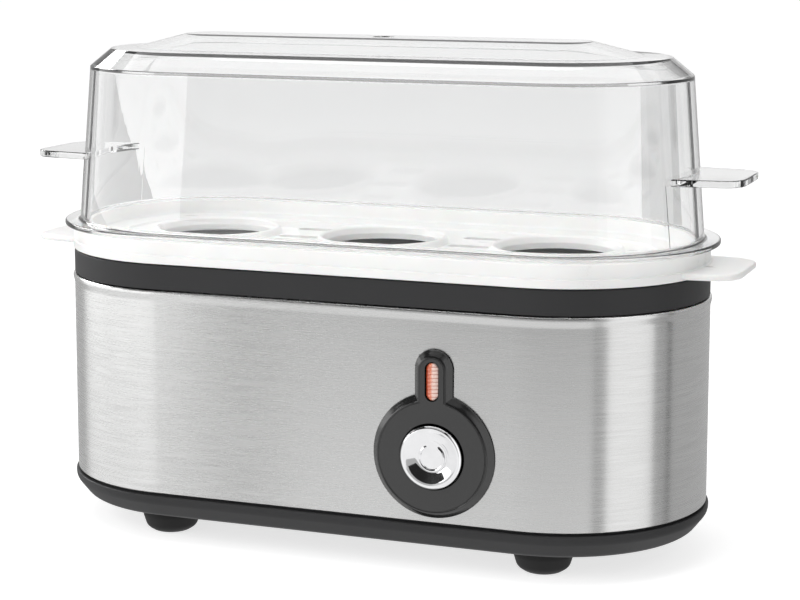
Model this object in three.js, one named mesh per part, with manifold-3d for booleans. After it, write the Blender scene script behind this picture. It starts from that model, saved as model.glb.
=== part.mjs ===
// A three-egg electric egg cooker: a steel body with round ends on a black base, a water dish with its
// heater inside, a lift-off egg tray and a clear lift-off lid, and a control panel with a push button.
// Millimetres, +Z up, the front towards -Y, the origin on the ground under the middle of the body.

import * as THREE from 'three';
import { mergeVertices } from 'three/addons/utils/BufferGeometryUtils.js';
import Module from 'manifold-3d';

const wasm = await Module();
wasm.setup();

// ---- Driving dimensions ----

const STRAIGHT = 51; // half the length of the straight sides: every long outline has round ends about X = +-51
const OUTLINE_CUTS = 28; // facets round a long outline
const ROUND_CUTS = 12; // facets round a small turned piece
const GAP = 0.3; // clearance between pieces that touch

const BODY = { r: 40, bottom: 14.5, top: 70.5, sheet: 0.7, flare: 0.3 };
const BASE = {
  r: 40.9, bottom: 6.7, floor: 9.3, shoulder: 14.2, rimTop: 20, rimOut: 39.2, rimIn: 37, fillet: 5,
};
const FOOT = { x: 54.4, y: 24, r: 8, stem: 2.5, barb: 3.4 };
const POST = { x: 66, y: 28, r: 3.6, bottom: 16, pilot: 1.8 };
const RING = { r: 39.9, bottom: 70.8, top: 77.5, rimIn: 37.9, ledge: 72.6, ledgeIn: 28.3 };
const DISH = { wallOut: 27.2, sheet: 1.2, under: 63.6, flangeUnder: 74.2, flangeR: 37.2 };
const TRAY = {
  bottom: 77.8, step: 80, rimTop: 84.1, r: 40.2, wallIn: 34.4, beadTop: 85.6, floor: 81.6, well: 81,
};
const SEAT = { pitch: 50, hole: 16.3, ring: 18.2, top: 82.8 };
const LID = {
  flangeUnder: 84.4, flangeTop: 85.7, flangeR: 42.3, crease: 128.5, rim: 133.3, top: 137.2, wall: 1.9,
};
const PANEL = {
  x: 29.4, z: 32.5, r: 16.6, neck: 5.15, neckTop: 60.5, back: -40.5, front: -42.2, chamfer: 1.7,
};
const PANEL_STUD = 13.4; // how far each of the panel's studs is to the side of the button
const BUTTON = { r: 8.4, front: -43.4, back: -38.4, stem: 2.4, stemEnd: -35.4 };
const LAMP_Z = 52.3; // height of the middle of the lamp window
const ELEMENT = { straight: 38, r: 15, z: 58.6, tube: 3, endX: -50, endY: 6, endZ: 48 };
const CLAMP_X = 20; // where the two clamps cross the heating element
const PLATE_UNDER = 61.9; // underside of the aluminium heat plate
const EAR_X = 11.5; // where the thermostat's two ears are screwed up
const FUSE = { x: 34, z: 59.2, r: 1.9 };
const GLAND = { x: -16, z: 30, r: 4.9, out: 43.4 };
const BLOCK = { x: -16, y: 14, half: 11, deep: 6, bottom: 9.6, top: 18.6, peg: 7.5 };
const SWITCH = { half: 7, front: -33.1, back: -17.5 };
const BRACKET = { screw: 11.8, y: -25, top: 15.5, sheet: 1.2 };

// ---- Materials ----

const material = (color, roughness, metalness = 0, opacity = 1) =>
  new THREE.MeshStandardMaterial({ color, roughness, metalness, opacity, transparent: opacity < 1 });

const MATERIALS = {
  clear: material(0xf2f6f8, 0.08, 0, 0.3),
  white: material(0xf1f1ef, 0.4),
  black: material(0x1c1c1d, 0.4),
  brushed: material(0xb9babb, 0.32, 1),
  steel: material(0xa5a6a8, 0.35, 1),
  chrome: material(0xd8d9da, 0.1, 1),
  aluminium: material(0xb4b6b8, 0.4, 1),
  brass: material(0xb59248, 0.3, 1),
  rubber: material(0x171717, 0.75),
  silicone: material(0xc9c6bf, 0.6),
  amber: material(0xd9892f, 0.15, 0, 0.85),
  glass: material(0xe8dccb, 0.05, 0, 0.5),
  beige: material(0xd8cdb6, 0.55),
  sheath: material(0x4b4744, 0.5, 0.8),
  redLead: material(0x9c2a22, 0.6),
  blueLead: material(0x2a4f8f, 0.6),
};

// ---- Shapes ----

// The points of an arc about (u, v), in degrees, both ends included.
function arc(u, v, radius, from, to, steps = 4) {
  return Array.from({ length: steps + 1 }, (_, i) => {
    const angle = THREE.MathUtils.degToRad(from + ((to - from) * i) / steps);
    return [u + radius * Math.cos(angle), v + radius * Math.sin(angle)];
  });
}

// A three.js geometry as a manifold-3d solid: vertices merged, slivers dropped, faces turned outwards.
function solid(geometry) {
  const bare = geometry.index ? geometry.toNonIndexed() : geometry.clone();
  for (const name of Object.keys(bare.attributes)) if (name !== 'position') bare.deleteAttribute(name);
  const merged = mergeVertices(bare, 1e-4);
  const p = merged.attributes.position;
  const corner = (i) => new THREE.Vector3().fromBufferAttribute(p, i);
  const triangles = [];
  let volume = 0;
  for (let i = 0; i < merged.index.count; i += 3) {
    const [a, b, c] = [0, 1, 2].map((k) => merged.index.getX(i + k));
    if (a === b || b === c || c === a) continue;
    triangles.push([a, b, c]);
    volume += corner(a).dot(corner(b).cross(corner(c)));
  }
  const facing = volume < 0 ? triangles.map(([a, b, c]) => [a, c, b]) : triangles;
  const mesh = new wasm.Mesh({
    numProp: 3,
    vertProperties: new Float32Array(p.array),
    triVerts: new Uint32Array(facing.flat()),
  });
  return new wasm.Manifold(mesh);
}

// A manifold-3d solid as a three.js geometry.
function geometryOf(shape) {
  const { vertProperties, triVerts, numProp } = shape.getMesh();
  const geometry = new THREE.BufferGeometry();
  const positions = new Float32Array((vertProperties.length / numProp) * 3);
  for (let i = 0; i < positions.length / 3; i += 1) {
    positions.set(vertProperties.subarray(i * numProp, i * numProp + 3), i * 3);
  }
  geometry.setAttribute('position', new THREE.BufferAttribute(positions, 3));
  geometry.setIndex(new THREE.BufferAttribute(new Uint32Array(triVerts), 1));
  geometry.computeVertexNormals();
  return geometry;
}

// A profile of [radius, z] points turned about the upright axis through (x, y).
function turned(profile, x = 0, y = 0, cuts = ROUND_CUTS) {
  const lathe = new THREE.LatheGeometry(profile.map(([r, z]) => new THREE.Vector2(r, z)), cuts);
  return solid(lathe.rotateX(Math.PI / 2).translate(x, y, 0));
}

// A profile of [radius, y] points turned about the front-to-back axis through (x, z).
function turnedY(profile, x, z, cuts = ROUND_CUTS) {
  const lathe = new THREE.LatheGeometry(profile.map(([r, y]) => new THREE.Vector2(r, y)), cuts);
  return solid(lathe.translate(x, 0, z));
}

// A profile turned about the upright axis and then pulled apart along X by the straight sides, so that
// it follows an outline with round ends. Half a facet of turn puts a facet, not a corner, on each side.
function longTurned(profile) {
  const closed = profile[0][0] > 0 ? [...profile, profile[0]] : profile;
  const points = closed.map(([r, z]) => new THREE.Vector2(r / Math.cos(Math.PI / OUTLINE_CUTS), z));
  const lathe = new THREE.LatheGeometry(points, OUTLINE_CUTS, Math.PI / OUTLINE_CUTS);
  const p = lathe.attributes.position;
  for (let i = 0; i < p.count; i += 1) {
    const cut = Math.floor(i / points.length);
    const angle = ((cut + 0.5) / OUTLINE_CUTS) * 2 * Math.PI;
    p.setX(i, p.getX(i) + Math.sign(Math.sin(angle)) * STRAIGHT);
  }
  return solid(lathe.rotateX(Math.PI / 2));
}

function block([x0, x1], [y0, y1], [z0, z1]) {
  const box = new THREE.BoxGeometry(x1 - x0, y1 - y0, z1 - z0);
  return solid(box.translate((x0 + x1) / 2, (y0 + y1) / 2, (z0 + z1) / 2));
}

function rod(r, x, y, z0, z1, cuts = ROUND_CUTS) {
  return turned([[0, z0], [r, z0], [r, z1], [0, z1]], x, y, cuts);
}

function rodY(r, x, z, y0, y1, cuts = ROUND_CUTS) {
  return turnedY([[0, y0], [r, y0], [r, y1], [0, y1]], x, z, cuts);
}

// A flat outline in XY, raised from z0 to z1.
function slab(shape, z0, z1, curveSegments = 6) {
  const options = { depth: z1 - z0, bevelEnabled: false, curveSegments };
  return solid(new THREE.ExtrudeGeometry(shape, options).translate(0, 0, z0));
}

// A flat outline in XZ, from y0 to y1. A bevel narrows both ends by bevel.size over bevel.deep.
function upright(shape, y0, y1, bevel = null, curveSegments = 12) {
  const deep = bevel ? bevel.deep : 0;
  const options = {
    depth: y1 - y0 - 2 * deep,
    bevelEnabled: Boolean(bevel),
    bevelThickness: deep,
    bevelSize: bevel ? bevel.size : 0,
    bevelSegments: 2,
    curveSegments,
  };
  const extruded = new THREE.ExtrudeGeometry(shape, options).rotateX(Math.PI / 2);
  return solid(extruded.translate(0, y1 - deep, 0));
}

// A round tube along a curve.
function tube(curve, r, steps, sides) {
  const corner = (_, i) => new THREE.Vector2(r, 0).rotateAround(new THREE.Vector2(), (i / sides) * 2 * Math.PI);
  const section = new THREE.Shape(Array.from({ length: sides }, corner));
  return solid(new THREE.ExtrudeGeometry(section, { steps, extrudePath: curve, curveSegments: 1 }));
}

// A line of half-width w from (x0, y) to (x1, y) with round ends, as an outline.
function oblong(x0, x1, y, w) {
  const shape = new THREE.Shape();
  shape.absarc(x1, y, w, -Math.PI / 2, Math.PI / 2);
  shape.absarc(x0, y, w, Math.PI / 2, 1.5 * Math.PI);
  return shape;
}

const joined = (first, ...others) => others.reduce((sum, other) => sum.add(other), first);
const cut = (first, ...others) => others.reduce((left, other) => left.subtract(other), first);
const corners = (x, y) => [[-x, -y], [x, -y], [-x, y], [x, y]];

// ---- Base, feet and the screws that clamp the body together ----

function base() {
  const { r, bottom, floor, shoulder, rimTop, rimOut, rimIn, fillet } = BASE;
  const profile = [
    [0, bottom],
    ...arc(r - fillet, bottom + fillet, fillet, -90, 0, 4),
    [r, shoulder],
    [rimOut, shoulder],
    [rimOut, rimTop],
    [rimIn, rimTop],
    [rimIn, floor],
    [0, floor],
  ];
  const bosses = corners(POST.x, POST.y).map(([x, y]) => rod(POST.r, x, y, floor - 1, POST.bottom - GAP));
  const screwHoles = corners(POST.x, POST.y).flatMap(([x, y]) => [
    rod(POST.pilot, x, y, bottom - 1, POST.bottom, 12),
    rod(POST.r - 0.2, x, y, bottom - 1, bottom + 2.7),
  ]);
  const stemHole = ([x, y]) => rod(FOOT.stem + GAP, x, y, bottom - 1, floor + 1, 12);
  const footHoles = corners(FOOT.x, FOOT.y).map(stemHole);
  const ventStarts = [-2, 4, 10, 16];
  const vents = ventStarts.map((x) => block([x, x + 2.6], [-9, 6], [bottom - 1, floor + 1]));
  const peg = (side) => rod(1.4, BLOCK.x + side * BLOCK.peg, BLOCK.y, floor - 1, BLOCK.top - 1.6, 12);
  const pegs = [-1, 1].map(peg);
  const mounts = [-1, 1].map((side) => rod(3.4, PANEL.x + side * BRACKET.screw, BRACKET.y, floor - 1, 14));
  const pilots = [-1, 1].map((side) => rod(1.6, PANEL.x + side * BRACKET.screw, BRACKET.y, floor + 0.6, 15, 12));
  const body = joined(longTurned(profile), ...bosses, ...pegs, ...mounts);
  return cut(body, ...screwHoles, ...footHoles, ...vents, ...pilots);
}

// A rubber foot: a domed pad with a barbed stem through the base's floor.
function foot(x, y) {
  const { r, stem, barb } = FOOT;
  const top = BASE.bottom - GAP;
  const above = BASE.floor + GAP;
  const profile = [
    [0, 0],
    [4.5, 0],
    [6.3, 1],
    [7.5, 2.8],
    [r, 5],
    [r, top],
    [stem, top],
    [stem, above],
    [barb, above],
    [1.8, above + 2.4],
    [0, above + 2.4],
  ];
  return turned(profile, x, y);
}

// A pan-head screw from beneath, with a cross recess.
function baseScrew(x, y) {
  const head = BASE.bottom + GAP;
  const seat = head + 2.1;
  const profile = [[0, head], [2.5, head], [3.1, head + 0.7], [3.1, seat], [1.5, seat], [1.5, 27], [0, 28.5]];
  const slots = [
    block([x - 1.8, x + 1.8], [y - 0.4, y + 0.4], [head - 1, head + 1]),
    block([x - 0.4, x + 0.4], [y - 1.8, y + 1.8], [head - 1, head + 1]),
  ];
  return cut(turned(profile, x, y, 16), ...slots);
}

// ---- Steel body and the black ring on it ----

function steelSleeve() {
  const { r, bottom, top, sheet, flare } = BODY;
  const inner = r - sheet;
  const profile = [
    [r + flare, bottom],
    [r, top - 1.6],
    [r + 0.35, top - 1.2],
    [r + 0.45, top - 0.6],
    [r + 0.25, top - 0.15],
    [r - 0.1, top],
    [37.2, top],
    [37.2, top - sheet],
    [inner, top - sheet],
    [inner + flare, bottom],
  ];
  const front = [-42, -38];
  return cut(
    longTurned(profile),
    rodY(10.9, PANEL.x, PANEL.z, ...front, 24),
    block([PANEL.x - 4.2, PANEL.x + 4.2], front, [LAMP_Z - 6.5, LAMP_Z + 6.2]),
    rodY(1.6, PANEL.x - PANEL_STUD, PANEL.z, ...front, 12),
    rodY(1.6, PANEL.x + PANEL_STUD, PANEL.z, ...front, 12),
    rodY(GLAND.r + 0.4, GLAND.x, GLAND.z, 38, 42),
  );
}

// The ring rests on the sleeve's turned-in top, carries the dish on its ledge, and hangs four screw posts.
function upperRing() {
  const { r, bottom, top, rimIn, ledge, ledgeIn } = RING;
  const profile = [
    [ledgeIn, bottom],
    [35.1, bottom],
    [35.1, bottom - 6.3],
    [36.8, bottom - 6.3],
    [36.8, bottom],
    [r, bottom],
    [r, top - 0.4],
    [r - 0.4, top],
    [rimIn, top],
    [rimIn, ledge],
    [ledgeIn, ledge],
  ];
  const posts = corners(POST.x, POST.y).map(([x, y]) => rod(POST.r, x, y, POST.bottom, bottom + 1));
  const pilots = corners(POST.x, POST.y).map(([x, y]) => rod(POST.pilot, x, y, POST.bottom - 1, 34, 12));
  const lugs = corners(28, 37.3).map(([x, y]) => block([x - 5, x + 5], [y - 0.7, y + 0.9], [75.5, 76.9]));
  return cut(joined(longTurned(profile), ...posts, ...lugs), ...pilots);
}

// ---- Water dish, its seal and the heater under it ----

function heatingDish() {
  const { wallOut, sheet, under, flangeUnder, flangeR } = DISH;
  const inner = wallOut - sheet;
  const profile = [
    [0, under],
    ...arc(wallOut - 3.4, under + 3.4, 3.4, -90, -8, 4),
    [wallOut, flangeUnder],
    [flangeR, flangeUnder],
    [flangeR, flangeUnder + 1],
    [wallOut + 0.6, flangeUnder + 1],
    [inner + 0.2, flangeUnder + 0.2],
    ...arc(inner - 2.2, under + sheet + 2.2, 2.2, -8, -90, 3),
    [0, under + sheet],
  ];
  const studs = [-1, 1].map((side) => rod(2, side * CLAMP_X, 0, 49.5, under + 0.6, 12));
  return joined(longTurned(profile), ...studs);
}

function dishSeal() {
  const [inner, outer, bottom, top] = [33, 36.6, RING.ledge + GAP, DISH.flangeUnder - GAP];
  return longTurned([[inner, bottom], [outer, bottom], [outer, top], [inner, top]]);
}

// An aluminium plate between dish and element, with holes for the dish's studs and the thermostat's screws.
function heatPlate() {
  const plate = slab(oblong(-44, 44, 0, 20), PLATE_UNDER, DISH.under - GAP, 10);
  const studHoles = [-1, 1].map((side) => rod(2.4, side * CLAMP_X, 0, 60, 65, 12));
  const screwHoles = [-1, 1].map((side) => rod(1.8, side * EAR_X, 0, 60, 65, 12));
  return cut(plate, ...studHoles, ...screwHoles);
}

// The element's centre line: a cold end, one long side, the round end, the other side and a cold end.
function elementLine() {
  const { straight, r, z, endX, endY, endZ } = ELEMENT;
  const k = r * 0.5523; // a quarter circle as one cubic curve
  const at = (x, y, up = z) => new THREE.Vector3(x, y, up);
  const line = new THREE.CurvePath();
  const bend = (...points) => line.add(new THREE.CubicBezierCurve3(...points));
  bend(at(endX, -endY, endZ), at(endX, -endY, endZ + 8), at(endX, -8, z), at(-straight - 4, -13));
  bend(at(-straight - 4, -13), at(-straight, -r), at(-straight, -r), at(-straight + 8, -r));
  line.add(new THREE.LineCurve3(at(-straight + 8, -r), at(straight, -r)));
  bend(at(straight, -r), at(straight + k, -r), at(straight + r, -k), at(straight + r, 0));
  bend(at(straight + r, 0), at(straight + r, k), at(straight + k, r), at(straight, r));
  line.add(new THREE.LineCurve3(at(straight, r), at(-straight + 8, r)));
  bend(at(-straight + 8, r), at(-straight, r), at(-straight, r), at(-straight - 4, 13));
  bend(at(-straight - 4, 13), at(endX, 8, z), at(endX, endY, endZ + 8), at(endX, endY, endZ));
  return line;
}

const heatingElement = () => tube(elementLine(), ELEMENT.tube, 44, 8);

// A terminal pin below each cold end, with a flat eye.
function elementTerminal(y) {
  const { endX, endZ } = ELEMENT;
  const top = endZ - GAP;
  const eye = block([endX - 2, endX + 2], [y - 0.4, y + 0.4], [top - 12, top - 5.5]);
  return joined(rod(1.2, endX, y, top - 6, top, 10), eye);
}

// A strap across the element's two sides, with its ends turned up.
function elementClamp(x) {
  const under = ELEMENT.z - ELEMENT.tube - GAP;
  const reach = ELEMENT.r + ELEMENT.tube + GAP;
  const strap = joined(
    block([x - 6, x + 6], [-reach - 1.2, reach + 1.2], [under - 1.2, under]),
    block([x - 6, x + 6], [-reach - 1.2, -reach], [under - 1, under + 5]),
    block([x - 6, x + 6], [reach, reach + 1.2], [under - 1, under + 5]),
  );
  return cut(strap, rod(2.3, x, 0, under - 2, under + 1, 12));
}

function clampNut(x) {
  const top = ELEMENT.z - ELEMENT.tube - GAP - 1.2 - GAP;
  return cut(rod(4, x, 0, top - 2.6, top, 6), rod(2.3, x, 0, top - 4, top + 1, 12));
}

// A round thermostat with two ears held against the heat plate, and two blades below.
function thermostat() {
  const top = PLATE_UNDER - GAP;
  const ears = slab(oblong(-EAR_X, EAR_X, 0, 3.6), top - 1.2, top);
  const body = rod(8, 0, 0, top - 6.6, top);
  const blades = [-1, 1].map((side) => block([side * 4 - 0.4, side * 4 + 0.4], [-2.4, 2.4], [47, top - 6]));
  const holes = [-1, 1].map((side) => rod(1.8, side * EAR_X, 0, top - 3, top + 1, 12));
  return cut(joined(body, ears, ...blades), ...holes);
}

function thermostatScrew(x) {
  const under = PLATE_UNDER - GAP - 1.2 - GAP;
  const [head, tip] = [under - 2.1, DISH.under - 0.5];
  const profile = [[0, head], [2.4, head], [2.8, head + 0.5], [2.8, under], [1.4, under], [1.4, tip], [0, tip]];
  return turned(profile, x, 0, 12);
}

function thermalFuse() {
  const line = new THREE.LineCurve3(new THREE.Vector3(0, -8, FUSE.z), new THREE.Vector3(0, 8, FUSE.z));
  return tube(line, FUSE.r, 1, 12).translate([FUSE.x, 0, 0]);
}

// A saddle strap that holds the fuse against the heat plate.
function fuseClip() {
  const inner = FUSE.r + GAP;
  const shape = new THREE.Shape();
  const top = PLATE_UNDER - GAP;
  shape.moveTo(FUSE.x - 7, top);
  shape.lineTo(FUSE.x - 7, top - 0.8);
  shape.lineTo(FUSE.x - inner - 0.8, top - 0.8);
  shape.lineTo(FUSE.x - inner - 0.8, FUSE.z);
  shape.absarc(FUSE.x, FUSE.z, inner + 0.8, Math.PI, 2 * Math.PI);
  shape.lineTo(FUSE.x + inner + 0.8, top - 0.8);
  shape.lineTo(FUSE.x + 7, top - 0.8);
  shape.lineTo(FUSE.x + 7, top);
  shape.lineTo(FUSE.x + inner, top);
  shape.lineTo(FUSE.x + inner, FUSE.z);
  shape.absarc(FUSE.x, FUSE.z, inner, 0, -Math.PI, true);
  shape.lineTo(FUSE.x - inner, top);
  return upright(shape, -3, 3);
}

// ---- Egg tray ----

// A tab outline at the +X end: from the body's end outwards, with rounded outer corners.
function tabShape(root, rootHalf, tip, tipHalf, corner) {
  const shape = new THREE.Shape();
  shape.moveTo(root, -rootHalf);
  shape.lineTo(tip - corner, -tipHalf);
  shape.quadraticCurveTo(tip, -tipHalf + 1, tip, -tipHalf + corner + 2);
  shape.lineTo(tip, tipHalf - corner - 2);
  shape.quadraticCurveTo(tip, tipHalf - 1, tip - corner, tipHalf);
  shape.lineTo(root, rootHalf);
  shape.lineTo(root - 20, rootHalf);
  shape.lineTo(root - 20, -rootHalf);
  return shape;
}

// The tab at one end, from z0 to z1; the other end's is turned half round.
const tab = (shape, z0, z1, turn) => slab(shape, z0, z1, 5).rotate([0, 0, turn]);

function eggTray() {
  const { bottom, step, rimTop, r, wallIn, beadTop, floor, well } = TRAY;
  const profile = [
    [0, well - 1.6],
    [34.8, well - 1.6],
    [34.8, 76.2],
    [36.2, 76.2],
    [36.2, rimTop - 1.7],
    [38, rimTop - 1.7],
    [38, bottom],
    [r, bottom],
    [r, step - 0.2],
    [r - 0.4, step + 0.1],
    [r - 0.5, rimTop - 0.4],
    [r - 0.9, rimTop],
    [wallIn + 1.2, rimTop],
    [wallIn + 1.1, beadTop],
    [wallIn + 0.2, beadTop],
    [wallIn, floor],
    [26.2, floor],
    [25.6, well],
    [0, well],
  ];
  const seats = [-1, 0, 1].map((place) => {
    const seat = [[0, well - 2], [SEAT.ring, well - 2], [SEAT.ring, well + 0.6], [SEAT.hole + 0.9, SEAT.top]];
    return turned([...seat, [0, SEAT.top]], place * SEAT.pitch, 0, 24);
  });
  const holes = [-1, 0, 1].map((place) => {
    const [narrow, wide] = [SEAT.hole - 0.6, SEAT.hole + 0.6];
    const egg = [[0, well - 4], [narrow, well - 4], [narrow, well], [wide, SEAT.top + 1], [0, SEAT.top + 1]];
    return turned(egg, place * SEAT.pitch, 0, 24);
  });
  const slots = [-1, 1].flatMap((side) => [-1, 0, 1].map((row) => {
    const x = side * SEAT.pitch / 2;
    return slab(oblong(x - 4, x + 4, row * 14, 1.9), well - 3, floor + 2, 4);
  }));
  const outline = tabShape(82, 17, 102, 15.5, 6.5);
  const tabs = [0, 180].map((turn) => {
    const keepOut = longTurned([[0, bottom - 1], [38.6, bottom - 1], [38.6, step + 1], [0, step + 1]]);
    return cut(tab(outline, bottom + 0.3, step - 0.2, turn), keepOut);
  });
  return cut(joined(longTurned(profile), ...seats, ...tabs), ...holes, ...slots);
}

// ---- Lid ----

function lid() {
  const { flangeUnder, flangeTop, flangeR, crease, rim, top, wall } = LID;
  const outside = [
    [0, flangeUnder],
    [flangeR - 0.2, flangeUnder],
    [flangeR, flangeUnder + 0.3],
    [flangeR, flangeTop - 0.3],
    [flangeR - 0.3, flangeTop],
    [38.6, flangeTop],
    [37.9, flangeTop + 0.7],
    [34.4, crease - 0.4],
    [34.1, crease + 0.2],
    [28.6, rim - 0.3],
    [28, rim],
    [21.4, rim + 0.3],
    [20.6, rim + 0.5],
    [8, top - 0.2],
    [7, top],
    [0, top],
  ];
  const inside = [
    [0, flangeUnder - 1],
    [36.1, flangeUnder - 1],
    [36, flangeTop],
    [34.4 - wall, crease - 1],
    [28 - wall * 0.6, rim - wall],
    [21.2 - wall * 0.2, rim + 0.3 - wall],
    [7.2, top - wall],
    [0, top - wall],
  ];
  const outline = tabShape(82, 15.6, 101.9, 13.8, 5);
  const tabs = [0, 180].map((turn) => tab(outline, 101.8, 103.7, turn));
  const vent = rod(2.6, 0, 0, top - 5, top + 1);
  return cut(joined(longTurned(outside), ...tabs), longTurned(inside), vent);
}

// ---- Control panel and what is behind it ----

// A keyhole outline in XZ: a disc with a neck above it, drawn in by the inset.
function keyhole(inset) {
  const r = PANEL.r - inset;
  const half = PANEL.neck - inset * 0.9;
  const top = PANEL.neckTop - inset;
  const joint = Math.acos(half / r);
  const shape = new THREE.Shape();
  shape.absarc(PANEL.x, PANEL.z, r, Math.PI - joint, 2 * Math.PI + joint);
  shape.absarc(PANEL.x, top - half, half, 0, Math.PI);
  return shape;
}

function controlPanel() {
  const { x, z, back, front, chamfer } = PANEL;
  const behind = block([x - 30, x + 30], [back, back + 5], [z - 30, z + 40]);
  const face = cut(upright(keyhole(chamfer), front, back + 2, { deep: 1, size: chamfer - 0.5 }), behind);
  const skirt = upright(keyhole(0), back - 0.8, back);
  const buttonTube = rodY(10.4, x, z, back - 0.5, -33.6, 24);
  const lampBox = block([x - 3.9, x + 3.9], [back - 0.5, -37], [LAMP_Z - 6.2, LAMP_Z + 5.9]);
  const studs = [-1, 1].map((side) => rodY(1.2, x + side * PANEL_STUD, z, back - 0.5, -37, 12));
  return cut(
    joined(skirt, face, buttonTube, lampBox, ...studs),
    rodY(BUTTON.r + 0.4, x, z, front - 1, -31, 24),
    block([x - 1.9, x + 1.9], [front - 1, -36], [LAMP_Z - 5.2, LAMP_Z + 5.2]),
  );
}

// A push nut on each of the panel's studs, inside the sleeve.
function panelNut(side) {
  const x = PANEL.x + side * PANEL_STUD;
  return cut(rodY(2.7, x, PANEL.z, -39, -38.3), rodY(1.55, x, PANEL.z, -40, -37));
}

function indicatorLens() {
  const window = block([PANEL.x - 1.6, PANEL.x + 1.6], [-42.5, -36.4], [LAMP_Z - 4.9, LAMP_Z + 4.9]);
  const flange = block([PANEL.x - 3.2, PANEL.x + 3.2], [-36.7, -35.9], [LAMP_Z - 5.8, LAMP_Z + 5.8]);
  return joined(window, flange);
}

// A holder that grips the panel's lamp box from behind, with a pocket for the lamp.
function lampHolder() {
  const { x } = PANEL;
  return cut(
    block([x - 5.4, x + 5.4], [-38.9, -28.5], [LAMP_Z - 8, LAMP_Z + 8]),
    block([x - 4.2, x + 4.2], [-40, -35.5], [LAMP_Z - 6.5, LAMP_Z + 6.5]),
    block([x - 2.7, x + 2.7], [-36, -30.2], [LAMP_Z - 5.8, LAMP_Z + 5.8]),
    rod(1.6, x, -33, LAMP_Z - 9, LAMP_Z - 5, 12),
  );
}

function indicatorLamp() {
  const bottom = LAMP_Z - 5.2;
  const profile = [[0, bottom], [2.1, bottom], ...arc(0, bottom + 8, 2.1, 0, 90, 3)];
  profile[profile.length - 1] = [0, bottom + 10.1];
  return turned(profile, PANEL.x, -33, 12);
}

// The chrome button: a hollow cap with a dished face and a stem down its middle.
function powerButton() {
  const { r, front, back, stem, stemEnd } = BUTTON;
  const profile = [
    [0, front + 0.7],
    [6.5, front + 0.5],
    [7, front],
    [7.9, front],
    [r, front + 0.4],
    [r, back],
    [7.2, back],
    [7.2, front + 2.2],
    [stem, front + 2.2],
    [stem, stemEnd],
    [0, stemEnd],
  ];
  return turnedY(profile, PANEL.x, PANEL.z, 24);
}

function switchPlunger() {
  const { x, z } = PANEL;
  return block([x - 2, x + 2], [BUTTON.stemEnd + GAP, -29], [z - 2, z + 2]);
}

// A coil spring round the button's stem, between the cap and the switch.
function switchSpring() {
  const [from, to, r, turns, steps] = [BUTTON.front + 2.95, SWITCH.front - 0.75, 3.8, 4, 28];
  const points = Array.from({ length: steps + 1 }, (_, i) => {
    const angle = (i / steps) * turns * 2 * Math.PI;
    const y = THREE.MathUtils.lerp(from, to, i / steps);
    return new THREE.Vector3(PANEL.x + r * Math.cos(angle), y, PANEL.z + r * Math.sin(angle));
  });
  return tube(new THREE.CatmullRomCurve3(points), 0.4, steps, 5);
}

function switchHousing() {
  const { x, z } = PANEL;
  const { half, front, back } = SWITCH;
  const blades = [-1, 1].map((side) => {
    const middle = x + side * 4;
    return block([middle - 0.4, middle + 0.4], [back - 1, back + 6], [z - 2.4, z + 2.4]);
  });
  const body = block([x - half, x + half], [front, back], [z - half, z + half]);
  return cut(joined(body, ...blades), block([x - 2.3, x + 2.3], [front - 1, -25.5], [z - 2.3, z + 2.3]));
}

// A bent steel bracket: two feet, two cheeks beside the switch and a shelf under it.
function switchBracket() {
  const { screw, y, top: footTop, sheet } = BRACKET;
  const deep = [y - 6.5, y + 6.5];
  const cheek = SWITCH.half + GAP;
  const [shelf, top] = [PANEL.z - SWITCH.half - GAP, PANEL.z + 3];
  const legs = [-1, 1].map((side) => {
    const inner = PANEL.x + side * cheek;
    const outer = PANEL.x + side * (cheek + sheet);
    return block([Math.min(inner, outer), Math.max(inner, outer)], deep, [footTop - sheet, top]);
  });
  const feet = [-1, 1].map((side) => {
    const [near, far] = [PANEL.x + side * (cheek + 0.5), PANEL.x + side * 15];
    return block([Math.min(near, far), Math.max(near, far)], deep, [footTop - sheet, footTop]);
  });
  const plate = block([PANEL.x - cheek - 1, PANEL.x + cheek + 1], deep, [shelf - sheet, shelf]);
  const holes = [-1, 1].map((side) => rod(1.6, PANEL.x + side * screw, y, footTop - 3, footTop + 1, 12));
  return cut(joined(plate, ...legs, ...feet), ...holes);
}

function bracketScrew(side) {
  const [tip, seat] = [BRACKET.top - 4.9, BRACKET.top + GAP];
  const head = [[2.7, seat], [2.7, seat + 1.2], [2.2, seat + 1.8], [0, seat + 1.8]];
  return turned([[0, tip], [1.3, tip], [1.3, seat], ...head], PANEL.x + side * BRACKET.screw, BRACKET.y, 12);
}

// ---- Mains inlet and wiring ----

// The bush in the back of the body that a mains cord would come through, and its nut.
function cordGland() {
  const { x, z, r, out } = GLAND;
  const profile = [
    [3.3, 33],
    [r, 33],
    [r, 40.6],
    [6.8, 40.6],
    [6.8, 42],
    [5.4, out],
    [3.9, out],
    [3.3, out - 0.6],
    [3.3, 33],
  ];
  return turnedY(profile, x, z);
}

function glandNut() {
  const { x, z, r } = GLAND;
  return cut(rodY(8, x, z, 35.6, 39, 6), rodY(r + GAP, x, z, 34, 41));
}

function terminalBlock() {
  const { x, y, half, deep, bottom, top, peg } = BLOCK;
  const body = block([x - half, x + half], [y - deep, y + deep], [bottom, top]);
  const pegHoles = [-1, 1].map((side) => rod(1.8, x + side * peg, y, bottom - 1, top + 1, 12));
  const wireHoles = [-1, 1].map((side) => rodY(1.7, x + side * 3, 15, y - deep - 1, y + deep + 1, 10));
  return cut(body, ...pegHoles, ...wireHoles);
}

// A covered wire through the given points.
function lead(points) {
  const curve = new THREE.CatmullRomCurve3(points.map((point) => new THREE.Vector3(...point)));
  return tube(curve, 0.9, Math.max(6, Math.round(curve.getLength() / 5)), 5);
}

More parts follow.
